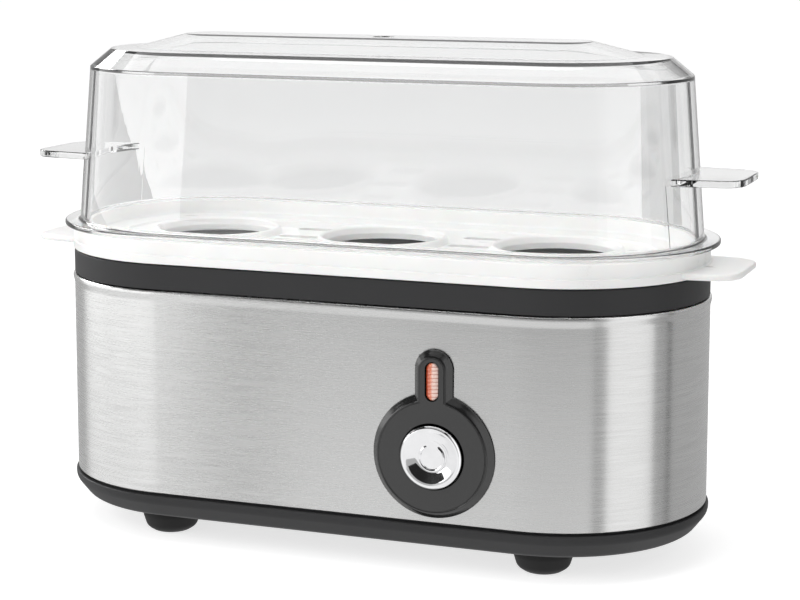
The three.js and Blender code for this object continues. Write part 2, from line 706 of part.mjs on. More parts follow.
const SWITCH_BLADE_Y = SWITCH.back + 6 + 2 * GAP;
const LEADS = {
  lead_block_to_switch: [
    [-13, 7.4, 15],
    [-12, 0, 18],
    [6, 2, 24],
    [22, -1, 31],
    [25.4, -7, PANEL.z],
    [25.4, SWITCH_BLADE_Y, PANEL.z],
  ],
  lead_switch_to_element: [
    [33.4, SWITCH_BLADE_Y, PANEL.z],
    [33.4, -7, PANEL.z],
    [24, -10, 39],
    [-10, -14, 38],
    [-38, -12, 34],
    [-50, -6, 34.4],
  ],
  lead_block_to_thermostat: [
    [-19, 20.6, 15],
    [-19, 25, 18],
    [-14, 22, 32],
    [-6, 6, 42],
    [-4, 0, 45.6],
  ],
  lead_thermostat_to_fuse: [
    [4, 0, 45.6],
    [8, -6, 43],
    [24, -11, 48],
    [33, -10.5, 55],
    [34, -9.2, 58.2],
  ],
  lead_fuse_to_element: [
    [34, 9.2, 58.2],
    [32, 11, 53],
    [16, 20, 44],
    [-24, 20, 42],
    [-44, 12, 36],
    [-50, 6, 34.2],
  ],
};

// ---- Assembly ----

const group = new THREE.Group();
group.name = 'egg_cooker';

function place(name, shape, finish) {
  const mesh = new THREE.Mesh(geometryOf(shape), MATERIALS[finish]);
  mesh.name = name;
  group.add(mesh);
}

place('base', base(), 'black');
place('steel_sleeve', steelSleeve(), 'brushed');
place('upper_ring', upperRing(), 'black');
place('heating_dish', heatingDish(), 'aluminium');
place('dish_seal', dishSeal(), 'silicone');
place('heat_plate', heatPlate(), 'aluminium');
place('heating_element', heatingElement(), 'sheath');
place('thermostat', thermostat(), 'beige');
place('thermal_fuse', thermalFuse(), 'beige');
place('fuse_clip', fuseClip(), 'steel');
place('egg_tray', eggTray(), 'white');
place('lid', lid(), 'clear');
place('control_panel', controlPanel(), 'black');
place('power_button', powerButton(), 'chrome');
place('switch_plunger', switchPlunger(), 'white');
place('switch_spring', switchSpring(), 'steel');
place('switch_housing', switchHousing(), 'black');
place('switch_bracket', switchBracket(), 'steel');
place('indicator_lens', indicatorLens(), 'amber');
place('indicator_lamp', indicatorLamp(), 'glass');
place('lamp_holder', lampHolder(), 'white');
place('cord_gland', cordGland(), 'rubber');
place('gland_nut', glandNut(), 'black');
place('terminal_block', terminalBlock(), 'beige');

corners(FOOT.x, FOOT.y).forEach(([x, y], i) => place(`foot_${i + 1}`, foot(x, y), 'rubber'));
corners(POST.x, POST.y).forEach(([x, y], i) => place(`base_screw_${i + 1}`, baseScrew(x, y), 'steel'));
[-1, 1].forEach((side, i) => {
  place(`element_clamp_${i + 1}`, elementClamp(side * CLAMP_X), 'steel');
  place(`clamp_nut_${i + 1}`, clampNut(side * CLAMP_X), 'steel');
  place(`element_terminal_${i + 1}`, elementTerminal(side * ELEMENT.endY), 'brass');
  place(`thermostat_screw_${i + 1}`, thermostatScrew(side * EAR_X), 'steel');
  place(`panel_nut_${i + 1}`, panelNut(side), 'steel');
  place(`bracket_screw_${i + 1}`, bracketScrew(side), 'steel');
});
Object.entries(LEADS).forEach(([name, points], i) => {
  place(name, lead(points), i % 2 ? 'blueLead' : 'redLead');
});

export default group;
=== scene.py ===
"""Looks for a three-egg electric egg cooker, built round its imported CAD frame.

Sizes are in millimetres unless a name says otherwise, and come from the boxes of the CAD nodes. Each
sub-assembly is a class that builds its own pieces, rides them on the right body and dresses them.
"""

import logging
import math
from abc import ABC, abstractmethod
from dataclasses import dataclass
from enum import Enum
from typing import Callable, Iterable, Sequence, Union

import bmesh
import bpy
from mathutils import Matrix, Vector


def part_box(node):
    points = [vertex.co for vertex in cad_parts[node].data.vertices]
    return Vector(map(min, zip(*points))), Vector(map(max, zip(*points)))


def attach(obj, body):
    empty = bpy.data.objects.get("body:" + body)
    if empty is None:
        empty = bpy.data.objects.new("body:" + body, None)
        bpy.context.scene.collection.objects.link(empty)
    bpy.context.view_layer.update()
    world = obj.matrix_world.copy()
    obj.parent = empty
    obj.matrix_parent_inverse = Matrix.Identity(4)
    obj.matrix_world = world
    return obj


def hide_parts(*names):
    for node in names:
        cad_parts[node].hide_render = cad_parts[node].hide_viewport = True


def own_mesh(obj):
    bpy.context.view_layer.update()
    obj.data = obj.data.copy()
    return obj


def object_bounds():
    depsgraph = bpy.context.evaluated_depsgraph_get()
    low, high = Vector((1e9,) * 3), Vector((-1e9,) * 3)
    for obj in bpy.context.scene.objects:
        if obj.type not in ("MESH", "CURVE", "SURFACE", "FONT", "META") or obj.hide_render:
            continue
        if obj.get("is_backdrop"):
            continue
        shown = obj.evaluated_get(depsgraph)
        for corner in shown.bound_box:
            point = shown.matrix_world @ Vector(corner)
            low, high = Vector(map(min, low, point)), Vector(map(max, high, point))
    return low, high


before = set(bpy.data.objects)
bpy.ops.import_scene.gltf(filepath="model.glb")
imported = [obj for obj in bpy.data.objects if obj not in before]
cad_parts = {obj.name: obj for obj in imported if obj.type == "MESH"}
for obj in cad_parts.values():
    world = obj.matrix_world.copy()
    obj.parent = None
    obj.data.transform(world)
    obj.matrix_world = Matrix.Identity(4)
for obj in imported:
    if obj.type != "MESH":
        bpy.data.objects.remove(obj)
CAD_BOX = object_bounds()

LOG = logging.getLogger("egg_cooker")
MM = 0.001
SIDES = (-1, 1)

Point = tuple[float, float]
Number = Union[int, float]


# ---- Shader nodes ----


class Wire:
    """A shader socket that takes part in Python arithmetic."""

    def __init__(self, bench: "Bench", socket: bpy.types.NodeSocket) -> None:
        """Wraps one output socket.

        Args:
            bench: The node tree the socket belongs to.
            socket: The output socket.
        """
        self.bench = bench
        self.socket = socket

    def _combine(
        self, operation: str, other: "Wire | Number | Sequence[float]", swapped: bool = False
    ) -> "Wire":
        """Adds the node for one operation.

        Args:
            operation: ADD, SUBTRACT, MULTIPLY, DIVIDE or POWER.
            other: The other operand.
            swapped: True if the other operand comes first.

        Returns:
            The result: a Math node's for values, a Vector Math node's for vectors, a Mix node's for colours.
        """
        first, second = (other, self) if swapped else (self, other)
        if self.socket.type == "RGBA":
            settings = {"data_type": "RGBA", "blend_type": operation}
            return self.bench.node("ShaderNodeMix", settings, {0: 1.0, 6: first, 7: second}, 2)
        kind = "ShaderNodeVectorMath" if self.socket.type == "VECTOR" else "ShaderNodeMath"
        return self.bench.node(kind, {"operation": operation}, {0: first, 1: second})

    def __add__(self, other: "Wire | Number") -> "Wire":
        """Sum."""
        return self._combine("ADD", other)

    __radd__ = __add__

    def __sub__(self, other: "Wire | Number") -> "Wire":
        """Difference."""
        return self._combine("SUBTRACT", other)

    def __rsub__(self, other: "Wire | Number") -> "Wire":
        """Difference with the wire second."""
        return self._combine("SUBTRACT", other, swapped=True)

    def __mul__(self, other: "Wire | Number | Sequence[float]") -> "Wire":
        """Product."""
        return self._combine("MULTIPLY", other)

    __rmul__ = __mul__

    def __truediv__(self, other: "Wire | Number") -> "Wire":
        """Quotient."""
        return self._combine("DIVIDE", other)

    def __pow__(self, other: "Wire | Number") -> "Wire":
        """Power."""
        return self._combine("POWER", other)


class Bench:
    """One node tree, emptied and ready to be wired."""

    def __init__(self, tree: bpy.types.NodeTree) -> None:
        """Empties the tree.

        Args:
            tree: A material's or a world's node tree.
        """
        self.tree = tree
        tree.nodes.clear()

    def node(self, kind: str, settings: dict, inputs: dict, output: int = 0) -> Wire:
        """Adds a node, sets it up, then feeds its sockets.

        Args:
            kind: The node's type name.
            settings: Its properties. "stops" sets a ramp's stops as (place, colour) pairs.
            inputs: Its sockets by name or number, each with a value or a wire.
            output: Which output to return.

        Returns:
            The output as a wire.
        """
        made = self.tree.nodes.new(kind)
        for name, value in settings.items():
            if name == "stops":
                self._set_stops(made.color_ramp, value)
            else:
                setattr(made, name, value)
        for key, value in inputs.items():
            self._feed(made.inputs[key], value)
        return Wire(self, made.outputs[output])

    def finish(self, kind: str, surface: Wire) -> None:
        """Adds the tree's output node."""
        self._feed(self.tree.nodes.new(kind).inputs["Surface"], surface)

    def _feed(self, socket: bpy.types.NodeSocket, value: "Wire | Number | Sequence[float]") -> None:
        """Links or sets one input socket."""
        if isinstance(value, Wire):
            self.tree.links.new(value.socket, socket)
        elif isinstance(value, (int, float)) and socket.type == "RGBA":
            socket.default_value = (value, value, value, 1.0)
        elif isinstance(value, (int, float)) and socket.type == "VECTOR":
            socket.default_value = (value, value, value)
        elif socket.type == "RGBA":
            socket.default_value = (*value[:3], 1.0)
        else:
            socket.default_value = value

    @staticmethod
    def _set_stops(ramp: bpy.types.ColorRamp, stops: Sequence[tuple[float, Sequence[float]]]) -> None:
        """Gives a colour ramp its stops."""
        while len(ramp.elements) < len(stops):
            ramp.elements.new(1.0)
        for element, (place, colour) in zip(ramp.elements, stops):
            element.position = place
            element.color = (*colour[:3], 1.0)

    def place(self) -> Wire:
        """The point on the surface, in millimetres, which moves with its piece."""
        return self.node("ShaderNodeTexCoord", {}, {}, 3) * 1000.0

    def noise(
        self, place: Wire, size: float, detail: float = 3.0, stretch: Sequence[float] = (1, 1, 1)
    ) -> Wire:
        """Cloudy noise from 0 to 1.

        Args:
            place: Where on the surface, in millimetres.
            size: The width of one cloud, in millimetres.
            detail: How many finer layers it has.
            stretch: How much longer a cloud is along X, Y and Z.

        Returns:
            The noise's value.
        """
        squeezed = place * tuple(1.0 / (size * along) for along in stretch)
        return self.node("ShaderNodeTexNoise", {}, {"Vector": squeezed, "Scale": 1.0, "Detail": detail})

    def spread(self, value: Wire, low: float, high: float) -> Wire:
        """A noise value's middle range stretched between low and high."""
        inputs = {"Value": value, "From Min": 0.25, "From Max": 0.75, "To Min": low, "To Max": high}
        return self.node("ShaderNodeMapRange", {"clamp": True}, inputs)

    def between(self, mask: Wire, first: "Wire | Sequence[float]", second: "Wire | Sequence[float]") -> Wire:
        """A colour that goes from first to second as the mask goes from 0 to 1."""
        return self.node("ShaderNodeMix", {"data_type": "RGBA"}, {0: mask, 6: first, 7: second}, 2)

    def bump(self, height: Wire, depth: float) -> Wire:
        """A normal bent by a height from 0 to 1 that stands for depth, in millimetres."""
        inputs = {"Strength": 1.0, "Distance": depth * MM, "Height": height}
        return self.node("ShaderNodeBump", {}, inputs)


# ---- Finishes ----


@dataclass(frozen=True)
class Finish(ABC):
    """A surface finish: its name, and how its shader is wired."""

    name: str

    def material(self) -> bpy.types.Material:
        """The Blender material, made once."""
        known = bpy.data.materials.get(self.name)
        if known is not None:
            return known
        material = bpy.data.materials.new(self.name)
        material.use_nodes = True
        bench = Bench(material.node_tree)
        bench.finish("ShaderNodeOutputMaterial", self.surface(bench))
        return material

    @abstractmethod
    def surface(self, bench: Bench) -> Wire:
        """Wires the shader.

        Args:
            bench: The material's empty node tree.

        Returns:
            The shader.
        """


def shader(bench: Bench, inputs: dict) -> Wire:
    """A Principled shader with the given sockets set or fed."""
    return bench.node("ShaderNodeBsdfPrincipled", {}, inputs)


@dataclass(frozen=True)
class MouldedPlastic(Finish):
    """Injection-moulded plastic with a fine spark-eroded grain."""

    colour: Sequence[float] = (0.02, 0.02, 0.02)
    roughness: float = 0.4
    grain: float = 0.35
    depth: float = 0.012
    specular: float = 0.5
    scatter: float = 0.0

    def surface(self, bench: Bench) -> Wire:
        """Wires the shader."""
        place = bench.place()
        grain = bench.noise(place, self.grain, 2.0)
        clouds = bench.noise(place, 14.0, 2.0)
        pale = tuple(min(1.0, channel * 1.05) for channel in self.colour)
        deep = tuple(channel * 0.95 for channel in self.colour)
        rough = bench.spread(clouds, self.roughness - 0.03, self.roughness + 0.03) + grain * 0.04 - 0.02
        inputs = {
            "Base Color": bench.between(clouds, deep, pale),
            "Roughness": rough,
            "Specular IOR Level": self.specular,
            "Normal": bench.bump(grain, self.depth),
        }
        if self.scatter:
            inputs |= {"Subsurface Weight": self.scatter, "Subsurface Scale": 1.5 * MM}
        return shader(bench, inputs)


@dataclass(frozen=True)
class BrushedSteel(Finish):
    """Stainless sheet brushed along its length, round the body."""

    colour: Sequence[float] = (0.72, 0.72, 0.715)
    roughness: float = 0.27
    stretch: float = 0.92

    def surface(self, bench: Bench) -> Wire:
        """Wires the shader."""
        place = bench.place()
        fine = bench.noise(place, 0.32, 3.0, (30, 30, 1))
        broad = bench.noise(place, 0.9, 3.0, (40, 40, 1))
        streaks = fine * 0.65 + broad * 0.35
        dark = tuple(channel * 0.88 for channel in self.colour)
        light = tuple(min(1.0, channel * 1.1) for channel in self.colour)
        return shader(
            bench,
            {
                "Base Color": bench.between(bench.spread(streaks, 0.0, 1.0), dark, light),
                "Metallic": 1.0,
                "Roughness": bench.spread(streaks, self.roughness - 0.04, self.roughness + 0.05),
                "Anisotropic": self.stretch,
                "Anisotropic Rotation": 0.25,
                "Normal": bench.bump(streaks, 0.008),
            },
        )


@dataclass(frozen=True)
class BareMetal(Finish):
    """Plated or cast metal with a faint cloud and fine scratches."""

    colour: Sequence[float] = (0.6, 0.6, 0.6)
    roughness: float = 0.3
    cloud: float = 6.0
    depth: float = 0.004
    metallic: float = 1.0

    def surface(self, bench: Bench) -> Wire:
        """Wires the shader."""
        place = bench.place()
        cloud = bench.noise(place, self.cloud, 4.0)
        scratch = bench.noise(place, 0.3, 2.0, (9, 1, 1))
        pale = tuple(min(1.0, channel * 1.06) for channel in self.colour)
        deep = tuple(channel * 0.9 for channel in self.colour)
        return shader(
            bench,
            {
                "Base Color": bench.between(cloud, deep, pale),
                "Metallic": self.metallic,
                "Roughness": bench.spread(cloud, self.roughness * 0.75, self.roughness * 1.25),
                "Normal": bench.bump(scratch, self.depth),
            },
        )


@dataclass(frozen=True)
class SpunMetal(Finish):
    """Spun sheet with fine rings that follow the dish's round-ended outline."""

    straight: float = 51.0
    colour: Sequence[float] = (0.66, 0.66, 0.67)
    roughness: float = 0.28

    def surface(self, bench: Bench) -> Wire:
        """Wires the shader."""
        place = bench.place()
        along = bench.node("ShaderNodeSeparateXYZ", {}, {0: place})
        across = Wire(bench, along.socket.node.outputs[1])
        beyond = bench.node("ShaderNodeMath", {"operation": "ABSOLUTE"}, {0: along}) - self.straight
        beyond = bench.node("ShaderNodeMath", {"operation": "MAXIMUM"}, {0: beyond, 1: 0.0})
        radius = (beyond * beyond + across * across) ** 0.5
        inputs = {"W": radius * 2.2, "Scale": 1.0}
        rings = bench.node("ShaderNodeTexNoise", {"noise_dimensions": "1D"}, inputs)
        scale = bench.noise(place, 5.0, 5.0)
        chalk = bench.spread(scale, 0.0, 1.0) ** 3.0
        return shader(
            bench,
            {
                "Base Color": bench.between(chalk * 0.35, self.colour, (0.82, 0.81, 0.78)),
                "Metallic": 1.0,
                "Roughness": chalk * 0.25 + rings * 0.1 + (self.roughness - 0.05),
                "Normal": bench.bump(rings, 0.02),
            },
        )


@dataclass(frozen=True)
class ClearPlastic(Finish):
    """Polished clear plastic, faintly hazed, that lets lamp light through."""

    tint: Sequence[float] = (0.993, 0.995, 0.995)
    roughness: float = 0.012
    ior: float = 1.58

    def surface(self, bench: Bench) -> Wire:
        """Wires the shader."""
        place = bench.place()
        haze = bench.noise(place, 9.0, 3.0)
        body = shader(
            bench,
            {
                "Base Color": bench.between(haze, tuple(channel * 0.995 for channel in self.tint), self.tint),
                "Roughness": self.roughness,
                "IOR": self.ior,
                "Transmission Weight": 1.0,
            },
        )
        passed = bench.node("ShaderNodeBsdfTransparent", {}, {"Color": (0.95, 0.955, 0.955)})
        shadow = bench.node("ShaderNodeLightPath", {}, {}, 1)
        return bench.node("ShaderNodeMixShader", {}, {0: shadow, 1: body, 2: passed})


@dataclass(frozen=True)
class AmberPlastic(Finish):
    """Ribbed translucent plastic with painted light: orange where the lamp backs it, a painted highlight pale along its
    lit edge, and painted shade dark between ribs.
    """

    left: float = 27.8
    width: float = 3.2
    pitch: float = 0.98
    foot: float = 47.4
    # deep is also the painted shade between the ribs, and pale is the painted highlight on the lit side.
    deep: Sequence[float] = (0.42, 0.06, 0.02)
    warm: Sequence[float] = (0.72, 0.2, 0.1)
    pale: Sequence[float] = (0.92, 0.68, 0.6)

    def surface(self, bench: Bench) -> Wire:
        """Wires the shader."""
        place = bench.place()
        cloud = bench.noise(place, 1.2, 2.0)
        x = bench.node("ShaderNodeSeparateXYZ", {}, {0: place})
        z = Wire(bench, x.socket.node.outputs[2])
        across = (x - self.left) / self.width + cloud * 0.3 - 0.15
        # Painted light: across the lens the colour runs from deep orange to warm orange to pale salmon; the pale side
        # is a painted highlight where light falls.
        stops = [(0.1, self.deep), (0.4, self.warm), (0.62, self.pale), (0.95, self.pale)]
        body = bench.node("ShaderNodeValToRGB", {"stops": stops}, {0: across})
        phase = (z - self.foot) * (math.pi / self.pitch)
        rib = bench.node("ShaderNodeMath", {"operation": "SINE"}, {0: phase})
        rib = bench.node("ShaderNodeMath", {"operation": "ABSOLUTE"}, {0: rib})
        # Painted shade: this mask is 0 in the grooves between the ribs, where the colour drops to the deep orange.
        rib_shade_mask = bench.node("ShaderNodeMapRange", {}, {"Value": rib, "From Min": 0.0, "From Max": 0.45})
        return shader(
            bench,
            {
                "Base Color": bench.between(rib_shade_mask, self.deep, body),
                "Roughness": bench.spread(cloud, 0.08, 0.16),
                "IOR": 1.5,
                "Coat Weight": 0.8,
                "Coat Roughness": 0.04,
                "Normal": bench.bump(cloud, 0.01),
            },
        )


class Stock(Enum):
    """The finishes this object uses, each with the record's material slot."""

    BLACK = (MouldedPlastic("black_moulded", (0.036, 0.036, 0.037), 0.45, 0.3, 0.008, 0.17), "black_plastic")
    SATIN = (MouldedPlastic("black_satin", (0.013, 0.013, 0.013), 0.15, 0.3, 0.001, 0.75), "black_plastic")
    DARK = (MouldedPlastic("dark_moulded", (0.04, 0.04, 0.042), 0.5, 0.4), "dark_plastic")
    WHITE = (MouldedPlastic("white_moulded", (0.88, 0.88, 0.87), 0.3, 0.4, 0.004, 0.5, 0.12), "white_plastic")
    BEIGE = (MouldedPlastic("beige_thermoset", (0.62, 0.54, 0.4), 0.55, 0.5, 0.02), "beige_thermoset")
    RUBBER = (MouldedPlastic("black_rubber", (0.012, 0.012, 0.012), 0.6, 0.25, 0.02, 0.3), "rubber")
    SILICONE = (MouldedPlastic("grey_silicone", (0.6, 0.58, 0.54), 0.5, 0.6, 0.01, 0.4, 0.3), "silicone")
    RED = (MouldedPlastic("red_insulation", (0.42, 0.04, 0.03), 0.45, 0.3), "lead_red")
    BLUE = (MouldedPlastic("blue_insulation", (0.04, 0.11, 0.38), 0.45, 0.3), "lead_blue")
    STEEL = (BrushedSteel("brushed_stainless"), "brushed_steel")
    ZINC = (BareMetal("zinc_plate", (0.52, 0.52, 0.5), 0.32, 3.0), "zinc_steel")
    BRASS = (BareMetal("satin_brass", (0.62, 0.43, 0.16), 0.3, 4.0), "brass")
    SHEATH = (BareMetal("oxidised_sheath", (0.11, 0.1, 0.09), 0.5, 2.5, 0.01, 0.8), "element_sheath")
    CHROME = (BareMetal("polished_chrome", (0.9, 0.9, 0.91), 0.085, 3.0, 0.0015), "chrome")
    DISH = (SpunMetal("spun_aluminium"), "dish_aluminium")
    CLEAR = (ClearPlastic("clear_moulded"), "clear_plastic")
    GLASS = (ClearPlastic("lamp_glass_clear", (0.95, 0.92, 0.85), 0.02, 1.45), "lamp_glass")
    AMBER = (AmberPlastic("amber_lens"), "amber_plastic")

    @property
    def material(self) -> bpy.types.Material:
        """The finish's material."""
        return self.value[0].material()

    @property
    def slot(self) -> str:
        """The record's slot."""
        return self.value[1]


# ---- Shapes ----


@dataclass(frozen=True)
class Span:
    """The box of a CAD node at rest, in millimetres."""

    low: Vector
    high: Vector

    @classmethod
    def of(cls, node: str) -> "Span":
        """The box of the named node."""
        low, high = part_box(node)
        return cls(low / MM, high / MM)

    @property
    def middle(self) -> Vector:
        """The middle of the box."""
        return (self.low + self.high) / 2


STRAIGHT = Span.of("steel_sleeve").high.x - Span.of("steel_sleeve").high.y
SCREWS_AT = (66.0, 28.0)
STUD_SPREAD = 13.4
POST_RADIUS = 3.6
PILOT_RADIUS = 1.8


class Axis(Enum):
    """What a profile is turned about."""

    UPRIGHT = "up"
    FRONT_TO_BACK = "front"


@dataclass(frozen=True)
class Corner:
    """A corner of a profile: how far out, how high, and the fillet that rounds it."""

    out: float
    up: float
    fillet: float = 0.0


def rounded(corners: Sequence[Corner], loop: bool = False, steps: int = 4) -> list[Point]:
    """A profile with its corners rounded.

    Args:
        corners: The corners in order.
        loop: True if the last corner joins the first.
        steps: How many facets each fillet has.

    Returns:
        The points of the profile.
    """
    places = [Vector((corner.out, corner.up)) for corner in corners]
    count = len(corners)
    points: list[Point] = []
    for i, corner in enumerate(corners):
        here = places[i]
        if corner.fillet <= 0 or (not loop and i in (0, count - 1)):
            points.append((here.x, here.y))
            continue
        back, ahead = places[i - 1] - here, places[(i + 1) % count] - here
        half = back.angle(ahead) / 2
        reach = min(corner.fillet / math.tan(half), 0.48 * back.length, 0.48 * ahead.length)
        radius = reach * math.tan(half)
        centre = here + (back.normalized() + ahead.normalized()).normalized() * radius / math.sin(half)
        start = here + back.normalized() * reach - centre
        turn = start.angle_signed(here + ahead.normalized() * reach - centre)
        for k in range(steps + 1):
            arm = start.copy()
            arm.rotate(Matrix.Rotation(-turn * k / steps, 2))
            points.append((centre.x + arm.x, centre.y + arm.y))
    return points


class Solid:
    """A closed mesh being shaped, in millimetres."""

    def __init__(self, vertices: Iterable[Sequence[float]], faces: Iterable[Sequence[int]]) -> None:
        """Makes the mesh and turns its faces outwards.

        Args:
            vertices: The points.
            faces: The faces, as indices of points.
        """
        mesh = bpy.data.meshes.new("solid")
        mesh.from_pydata(list(vertices), [], list(faces))
        self.object = bpy.data.objects.new("solid", mesh)
        bpy.context.scene.collection.objects.link(self.object)
        self._clean(1e-4)

    def _clean(self, distance: float) -> None:
        """Merges points closer than distance and drops what that leaves empty."""
        made = bmesh.new()
        made.from_mesh(self.object.data)
        bmesh.ops.remove_doubles(made, verts=made.verts, dist=distance)
        bmesh.ops.dissolve_degenerate(made, dist=distance, edges=made.edges)
        bmesh.ops.recalc_face_normals(made, faces=made.faces)
        made.to_mesh(self.object.data)
        made.free()

    @classmethod
    def lofted(
        cls, rings: Sequence[Sequence[Sequence[float]]], loop: bool = False, seam: bool = True
    ) -> "Solid":
        """A skin over closed rings of equal length.

        Args:
            rings: The rings of points.
            loop: True if the last ring joins the first; otherwise the ends are closed with flat faces.
            seam: False to leave out the strip from each ring's last point to its first.
        """
        count = len(rings[0])
        vertices = [point for ring in rings for point in ring]
        faces: list[Sequence[int]] = []
        for i in range(len(rings) if loop else len(rings) - 1):
            this, following = i * count, ((i + 1) % len(rings)) * count
            for j in range(count if seam else count - 1):
                k = (j + 1) % count
                faces.append((this + j, this + k, following + k, following + j))
        if not loop:
            faces.append(tuple(range(count)))
            faces.append(tuple(range(len(vertices) - count, len(vertices))))
        return cls(vertices, faces)

    @classmethod
    def swept(cls, profile: Sequence[Point], cuts: int = 56) -> "Solid":
        """A profile carried round an outline with straight sides and round ends.

        Args:
            profile: Points (out, up), a loop that may touch the axis.
            cuts: Facets round each end.
        """
        path = []
        for side in (1, -1):
            for i in range(cuts + 1):
                angle = (i / cuts - 0.5 * side) * math.pi
                path.append((side * STRAIGHT, math.cos(angle), math.sin(angle)))
            path += [(side * share * STRAIGHT, 0.0, side) for share in (0.98, 0.5, 0, -0.5, -0.98)]
        rings = [[(cx + out * nx, out * ny, up) for out, up in profile] for cx, nx, ny in path]
        return cls.lofted(rings, loop=True, seam=profile[0][0] > 0)

    @classmethod
    def turned(cls, profile: Sequence[Point], x: float, other: float, axis: Axis = Axis.UPRIGHT,
               cuts: int = 64) -> "Solid":
        """A profile turned about an axis.

        Args:
            profile: Points (out, along), a loop that may touch the axis.
            x: Where the axis is along X.
            other: Where it is along Y, or along Z for one from front to back.
            axis: Which way it points.
            cuts: Facets in a whole turn.
        """
        rings = []
        for i in range(cuts):
            c, s = math.cos(math.tau * i / cuts), math.sin(math.tau * i / cuts)
            if axis is Axis.UPRIGHT:
                rings.append([(x + out * c, other + out * s, along) for out, along in profile])
            else:
                rings.append([(x + out * c, along, other + out * s) for out, along in profile])
        return cls.lofted(rings, loop=True, seam=profile[0][0] > 0)

    @classmethod
    def rod(cls, radius: float, bottom: float, top: float, x: float, y: float) -> "Solid":
        """A plain upright round bar, used for bosses, posts and holes."""
        return cls.turned([(0, bottom), (radius, bottom), (radius, top), (0, top)], x, y)

    @classmethod
    def slab(cls, outline: Sequence[Point], bottom: float, top: float, edge: float = 0.0) -> "Solid":
        """A flat outline raised from bottom to top, with rounded edges."""
        levels = edge_levels(bottom, top, edge)
        return cls.lofted([[(x, y, z) for x, y in inset(outline, inwards)] for inwards, z in levels])

    @classmethod
    def block(cls, xs: Point, ys: Point, zs: Point) -> "Solid":
        """A plain block, used for cutting and for hidden ribs."""
        outline = [(xs[0], ys[0]), (xs[1], ys[0]), (xs[1], ys[1]), (xs[0], ys[1])]
        return cls.slab(outline, zs[0], zs[1])

    @classmethod
    def tube(cls, line: Sequence[Sequence[float]], radius: float, sides: int = 12) -> "Solid":
        """A round bar along a line of points, with rounded ends."""
        points = [Vector(point) for point in line]
        around = [points[0], *points, points[-1]]
        ways = [(after - before).normalized() for before, after in zip(around, around[2:])]
        nose, taper = radius * 0.6, 0.5
        first, last = points[0] - ways[0] * nose, points[-1] + ways[-1] * nose
        stations = [(first, ways[0], taper), *zip(points, ways, [1.0] * len(points)), (last, ways[-1], taper)]
        turns = [math.tau * k / sides for k in range(sides)]
        rings = []
        across = Vector((0, 0, 1))
        for point, way, share in stations:
            across = (across - way * across.dot(way)).normalized()
            aside, reach = way.cross(across), radius * share
            rings.append([point + (across * math.cos(a) + aside * math.sin(a)) * reach for a in turns])
        return cls.lofted(rings)

    def spun(self, degrees: float) -> "Solid":
        """Turns the solid about the upright axis."""
        self.object.data.transform(Matrix.Rotation(math.radians(degrees), 4, "Z"))
        return self

    def _boolean(self, operation: str, other: "Solid") -> "Solid":
        """Joins or cuts with another solid, which is used up."""
        modifier = self.object.modifiers.new("boolean", "BOOLEAN")
        modifier.operation = operation
        modifier.solver = "MANIFOLD"
        modifier.object = other.object
        bpy.context.view_layer.update()
        shaped = self.object.evaluated_get(bpy.context.evaluated_depsgraph_get())
        mesh = bpy.data.meshes.new_from_object(shaped)
        if not mesh.polygons:
            raise ValueError(f"{operation} left nothing")
        self.object.modifiers.clear()
        self.object.data = mesh
        bpy.data.objects.remove(other.object)
        return self

    def join(self, *others: "Solid") -> "Solid":
        """Adds other solids."""
        for other in others:
            self._boolean("UNION", other)
        return self

    def cut(self, *others: "Solid") -> "Solid":
        """Takes other solids away."""
        for other in others:
            self._boolean("DIFFERENCE", other)
        return self

    def piece(
        self, name: str, body: str, nodes: Sequence[str], stock: Stock, crease: float = 32.0
    ) -> bpy.types.Object:
        """Finishes the solid as a named piece of the object.

        Args:
            name: The piece's name.
            body: The CAD body it rides on.
            nodes: The CAD nodes it stands for.
            stock: What it is made of.
            crease: The angle in degrees past which an edge stays sharp.

        Returns:
            The piece.
        """
        self._clean(2e-4)
        made = self.object
        made.name = made.data.name = name
        made.data.transform(Matrix.Scale(MM, 4))
        made.data.shade_smooth()
        made.data.set_sharp_from_angle(angle=math.radians(crease))
        weighted = made.modifiers.new("weighted_normals", "WEIGHTED_NORMAL")
        weighted.keep_sharp = True
        made.data.materials.clear()
        made.data.materials.append(stock.material)
        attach(made, body)
        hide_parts(*nodes)
        stock.slot
        LOG.info("piece %s: %d faces on %s", name, len(made.data.polygons), body)
        return made


def inset(outline: Sequence[Point], distance: float) -> list[Point]:
    """An outline that runs anticlockwise, drawn in by a distance."""
    if distance == 0:
        return list(outline)
    moved = []
    for i, here in enumerate(outline):
        back, ahead = outline[i - 1], outline[(i + 1) % len(outline)]
        before = Vector((here[0] - back[0], here[1] - back[1])).normalized()
        after = Vector((ahead[0] - here[0], ahead[1] - here[1])).normalized()
        inward = Vector((-before.y - after.y, before.x + after.x))
        reach = distance / max(0.35, inward.length_squared / 2)
        moved.append((here[0] + inward.x * reach, here[1] + inward.y * reach))
    return moved


def edge_levels(bottom: float, top: float, edge: float, steps: int = 3) -> list[Point]:
    """The (inset, height) steps of a slab whose two edges are rounded."""
    if edge == 0:
        return [(0.0, bottom), (0.0, top)]
    turns = [math.pi / 2 * k / steps for k in range(steps + 1)]
    lower = [(edge * (1 - math.sin(a)), bottom + edge * (1 - math.cos(a))) for a in turns]
    return lower + [(inwards, bottom + top - z) for inwards, z in reversed(lower)]


def arc(x: float, y: float, radius: float, start: float, end: float, steps: int) -> list[Point]:
    """Points on an arc, with both ends, in degrees."""
    turns = [math.radians(start + (end - start) * k / steps) for k in range(steps + 1)]
    return [(x + radius * math.cos(a), y + radius * math.sin(a)) for a in turns]


def oblong(x: float, y: float, half: float, radius: float, steps: int = 10) -> list[Point]:
    """A slot's outline, long in X, with round ends."""
    return arc(x + half, y, radius, -90, 90, steps) + arc(x - half, y, radius, 90, 270, steps)


def four(x: float, y: float) -> list[Point]:
    """The four places at plus and minus x and y, in the order of the numbered CAD nodes."""
    return [(-x, -y), (x, -y), (-x, y), (x, y)]


